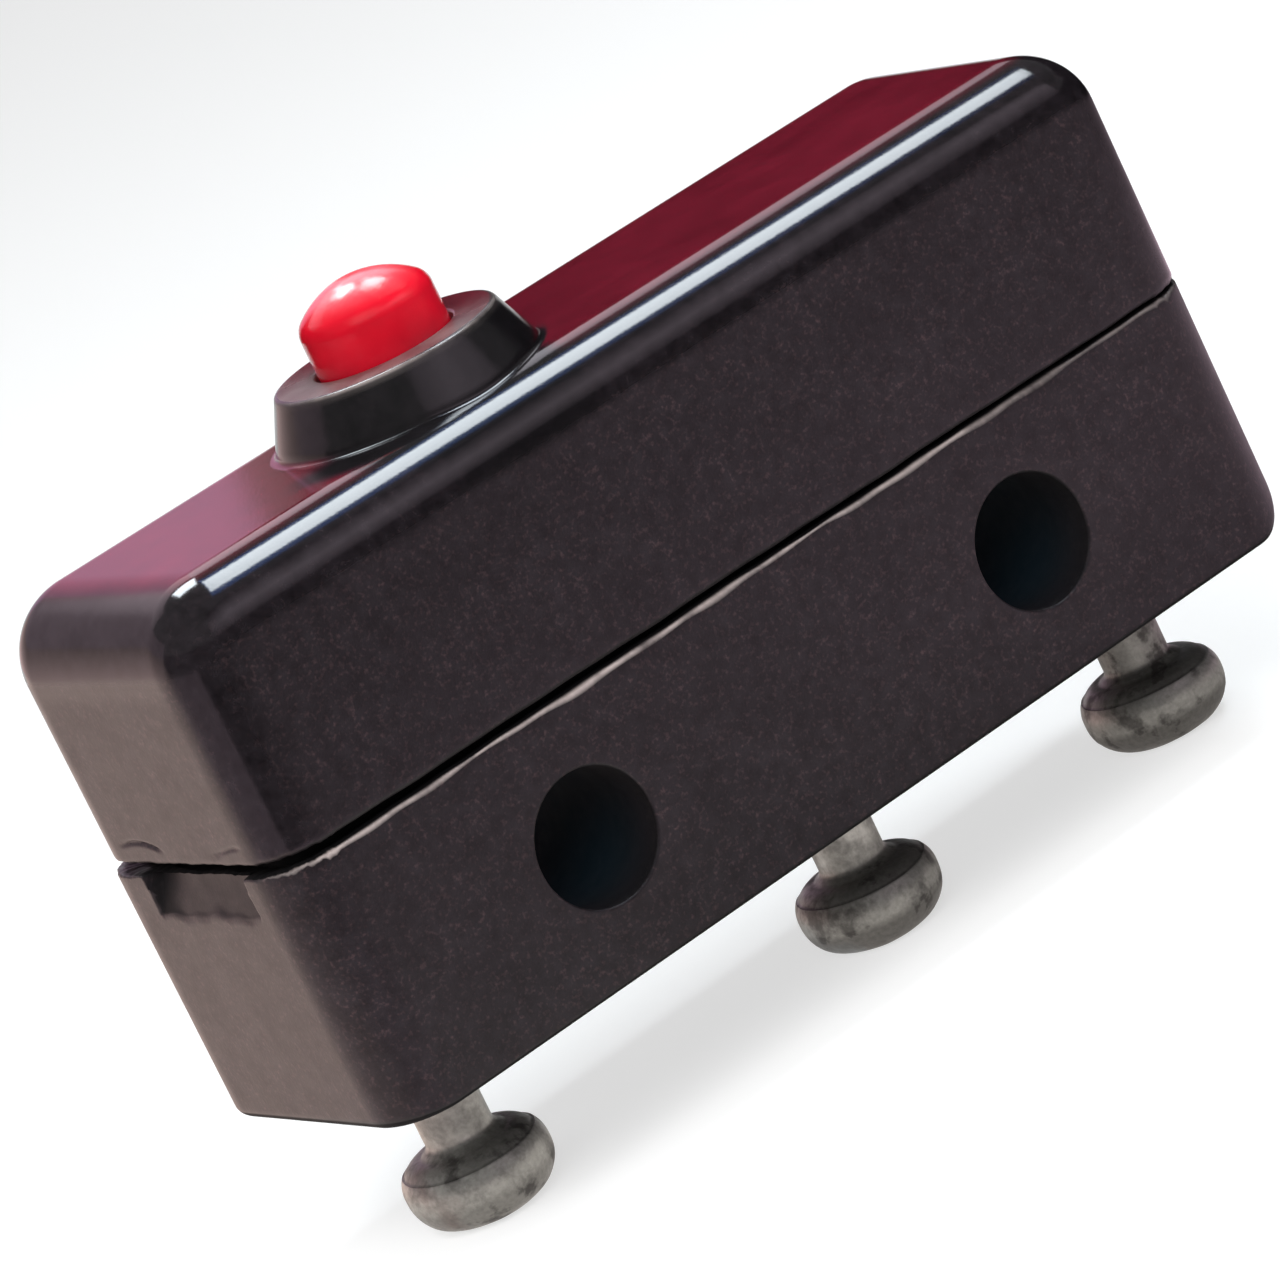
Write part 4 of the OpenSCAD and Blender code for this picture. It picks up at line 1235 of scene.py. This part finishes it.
def ring_cards(level):
    """Cards that lie just above the floor: name, azimuths, profile, brightness and tint of each."""
    under, near, middle, far, shade, beige = (
        [(start, level), (stop, level)]
        for start, stop in ((0.5, 13.5), (13.5, 28), (28, 46), (46, 75), (13.5, 20), (9.5, 88)))
    return (
        ("near_left", (157, 206), near, (1.75, 0.85), (1.0, 0.77, 0.75)),
        ("near_front", (206, 400), near, (0.9, 0.9), PLUM_GLOW),
        ("mid_left", (157, 206), middle, (0.7, 0.55), PLUM_GLOW),
        ("far_left", (157, 206), far, (0.7, 0.55), PLUM_GLOW),
        ("mid_dark", (206, 287), middle, (0, 0), WHITE),
        ("far_dark", (206, 287), far, (0, 0), WHITE),
        ("mid_front", (287, 400), middle, ((1.65, 1.65), (0.35, 0.35)), PLUM_GLOW),
        ("far_front", (287, 400), far, ((0.35, 0.35), (0, 0)), PLUM_GLOW),
        ("front_wall", (157, 400), [(75, level), (75, 0.028)], (0, 0), WHITE),
        ("under_card", (157, 458), under, (0.9, 0.4), (1.0, 0.94, 0.9)),
        ("back_shade", (40, 98), shade, (0, 0), WHITE),
        ("beige_card", (98, 157), beige, (1.8, 1.8), BEIGE_GLOW),
    )


def sky_cards():
    """Cards that stand on the sphere about the case, in the same order."""
    return (
        ("left_wall", (86, 157), sky_arc(-7.5, 13), ((1.4, 1.4), (0.48, 0.48)), (1.0, 0.72, 0.7)),
        ("left_haze", (86, 157), sky_arc(13, 27), (0.5, 0.48), (1.0, 0.75, 0.87)),
        ("pink_card", (67, 86), sky_arc(4, 27), ((0.8, 0.75), (0.6, 0.6)), (1.0, 0.62, 0.9)),
        ("back_card_right", (40, 69), sky_arc(22.5, 44), ((0.5, 1.5), (1.4, 1.9), (1.4, 1.9)),
         (0.97, 0.94, 1.03)),
        ("back_card_left", (69, 122), sky_arc(27, 44), (1.7, 0.5), (1.0, 0.8, 0.9)),
        ("back_flag", (-5, 66), sky_arc(1, 22), (0, 0), WHITE),
        ("front_sky", (-110, -40), sky_arc(12, 54), ((0, 0, 0), (0.5, 1.2, 1.0), (0, 0, 0)),
         (1.0, 0.85, 0.97)),
    )


class SWITCH_OT_stage(bpy.types.Operator):
    """Set the floor, the lights, the cards that show in reflections, and the camera"""
    bl_idname = "switch.stage"
    bl_label = "Stage"

    def execute(self, context):
        scene = context.scene
        stage = scene.switch_stage
        ground = CAD_BOX[0][2]
        reach = np.concatenate([[0.00001], np.geomspace(0.01, stage.floor_reach, 12)])
        swing = np.linspace(0, TURN, 65)
        disc = np.stack([reach[:, None] * np.cos(swing), reach[:, None] * np.sin(swing),
                         np.full((len(reach), len(swing)), ground)], -1)
        sheet_mesh("floor", disc, floor_material(stage))
        near = ground + 0.00004
        button = bpy.data.objects["red_plunger"]
        for row in ring_cards(near) + sky_cards():
            sheet = card(*row)
            if sheet.name in ("near_left", "beige_card", "left_wall", "left_haze"):
                light_only(sheet, [button], "EXCLUDE")
        stem_card = panel("stem_card", near + 0.00002, ((-2.5, -4.6), (16, -4.6)), ((-2.5, -8), (16, -8)),
                          (2.4, 1.6), (1.0, 0.95, 0.92))
        light_only(stem_card, [bpy.data.objects[kind + "_post"] for kind in POST_LOOKS], "INCLUDE")
        bright = panel("strip_face", 0.11, ((38, 37), (80, 12)), ((36, -14.5), (82, -28.5)), (15, 13),
                       COOL_GLOW)
        fringe = panel("strip_fringe", 0.111, ((35, 52), (82, 28)), ((33, -30), (84, -43)), (2.0, 0.5),
                       (0.12, 0.34, 1.0))
        strip = softbox("overhead_strip", (0.058, 0.001, 0.109), (0, 0, CARD_EYE), 0.042, 0.056,
                        stage.strip, COOL_GLOW)
        corner = softbox("corner_light", (0.0074, 0.0511, 0.0895), (-0.009, -0.0024, 0.0066), 0.036, 0.03,
                         13.0, COOL_GLOW)
        corner.visible_diffuse = False
        key = softbox("key_soft", (-0.09, -0.1, 0.13), (0, 0, 0), 0.14, 0.14, stage.key)
        side = softbox("side_soft", (-0.14, 0.03, 0.05), (0, 0, 0), 0.1, 0.1, stage.side)
        for lamp in (strip, key, side):
            lamp.visible_glossy = False
        for lamp in (bright, fringe, corner, side):
            light_only(lamp, [button], "EXCLUDE")
        dome = (-0.0027, 0, 0.0088)
        for name, azimuth, rise, width, height, brightness in (
                ("dome_streak", 76, 38, 0.02, 0.06, 14.0), ("dome_glow", 45, 57, 0.022, 0.03, 9.0),
                ("dome_fill", -45, 25, 0.06, 0.06, 2.2)):
            lamp = softbox(name, on_sky(azimuth, rise), dome, width, height, brightness)
            lamp.visible_glossy = name != "dome_fill"
            light_only(lamp, [button], "INCLUDE")
        scene.world = surroundings(stage)
        scene.view_settings.view_transform = "Standard"
        place_camera(stage)
        return {"FINISHED"}


class SWITCH_PT_looks(bpy.types.Panel):
    """Lists the switch's pieces and its stage"""
    bl_idname = "SWITCH_PT_looks"
    bl_label = "Plunger switch"
    bl_space_type = "VIEW_3D"
    bl_region_type = "UI"
    bl_category = "Switch"

    def draw(self, context):
        for operator in OPERATORS:
            self.layout.operator(operator.bl_idname)


SETTINGS = {
    "switch_case": CaseSettings,
    "switch_plunger": PlungerSettings,
    "switch_terminal": TerminalSettings,
    "switch_metal": MetalSettings,
    "switch_stage": StageSettings,
}
OPERATORS = (SWITCH_OT_cover, SWITCH_OT_base, SWITCH_OT_plunger, SWITCH_OT_terminals,
             SWITCH_OT_inside, SWITCH_OT_stage)


def register():
    """Registers the settings, the operators and the panel."""
    for name, kind in SETTINGS.items():
        bpy.utils.register_class(kind)
        setattr(bpy.types.Scene, name, bpy.props.PointerProperty(type=kind))
    for kind in (*OPERATORS, SWITCH_PT_looks):
        bpy.utils.register_class(kind)


def unregister():
    """Takes away what register added."""
    for kind in (SWITCH_PT_looks, *reversed(OPERATORS)):
        bpy.utils.unregister_class(kind)
    for name, kind in SETTINGS.items():
        delattr(bpy.types.Scene, name)
        bpy.utils.unregister_class(kind)


def main():
    """Makes every piece and the stage."""
    register()
    bpy.ops.switch.cover()
    bpy.ops.switch.base()
    bpy.ops.switch.plunger()
    bpy.ops.switch.terminals()
    bpy.ops.switch.inside()
    bpy.ops.switch.stage()


if __name__ == "__main__":
    main()
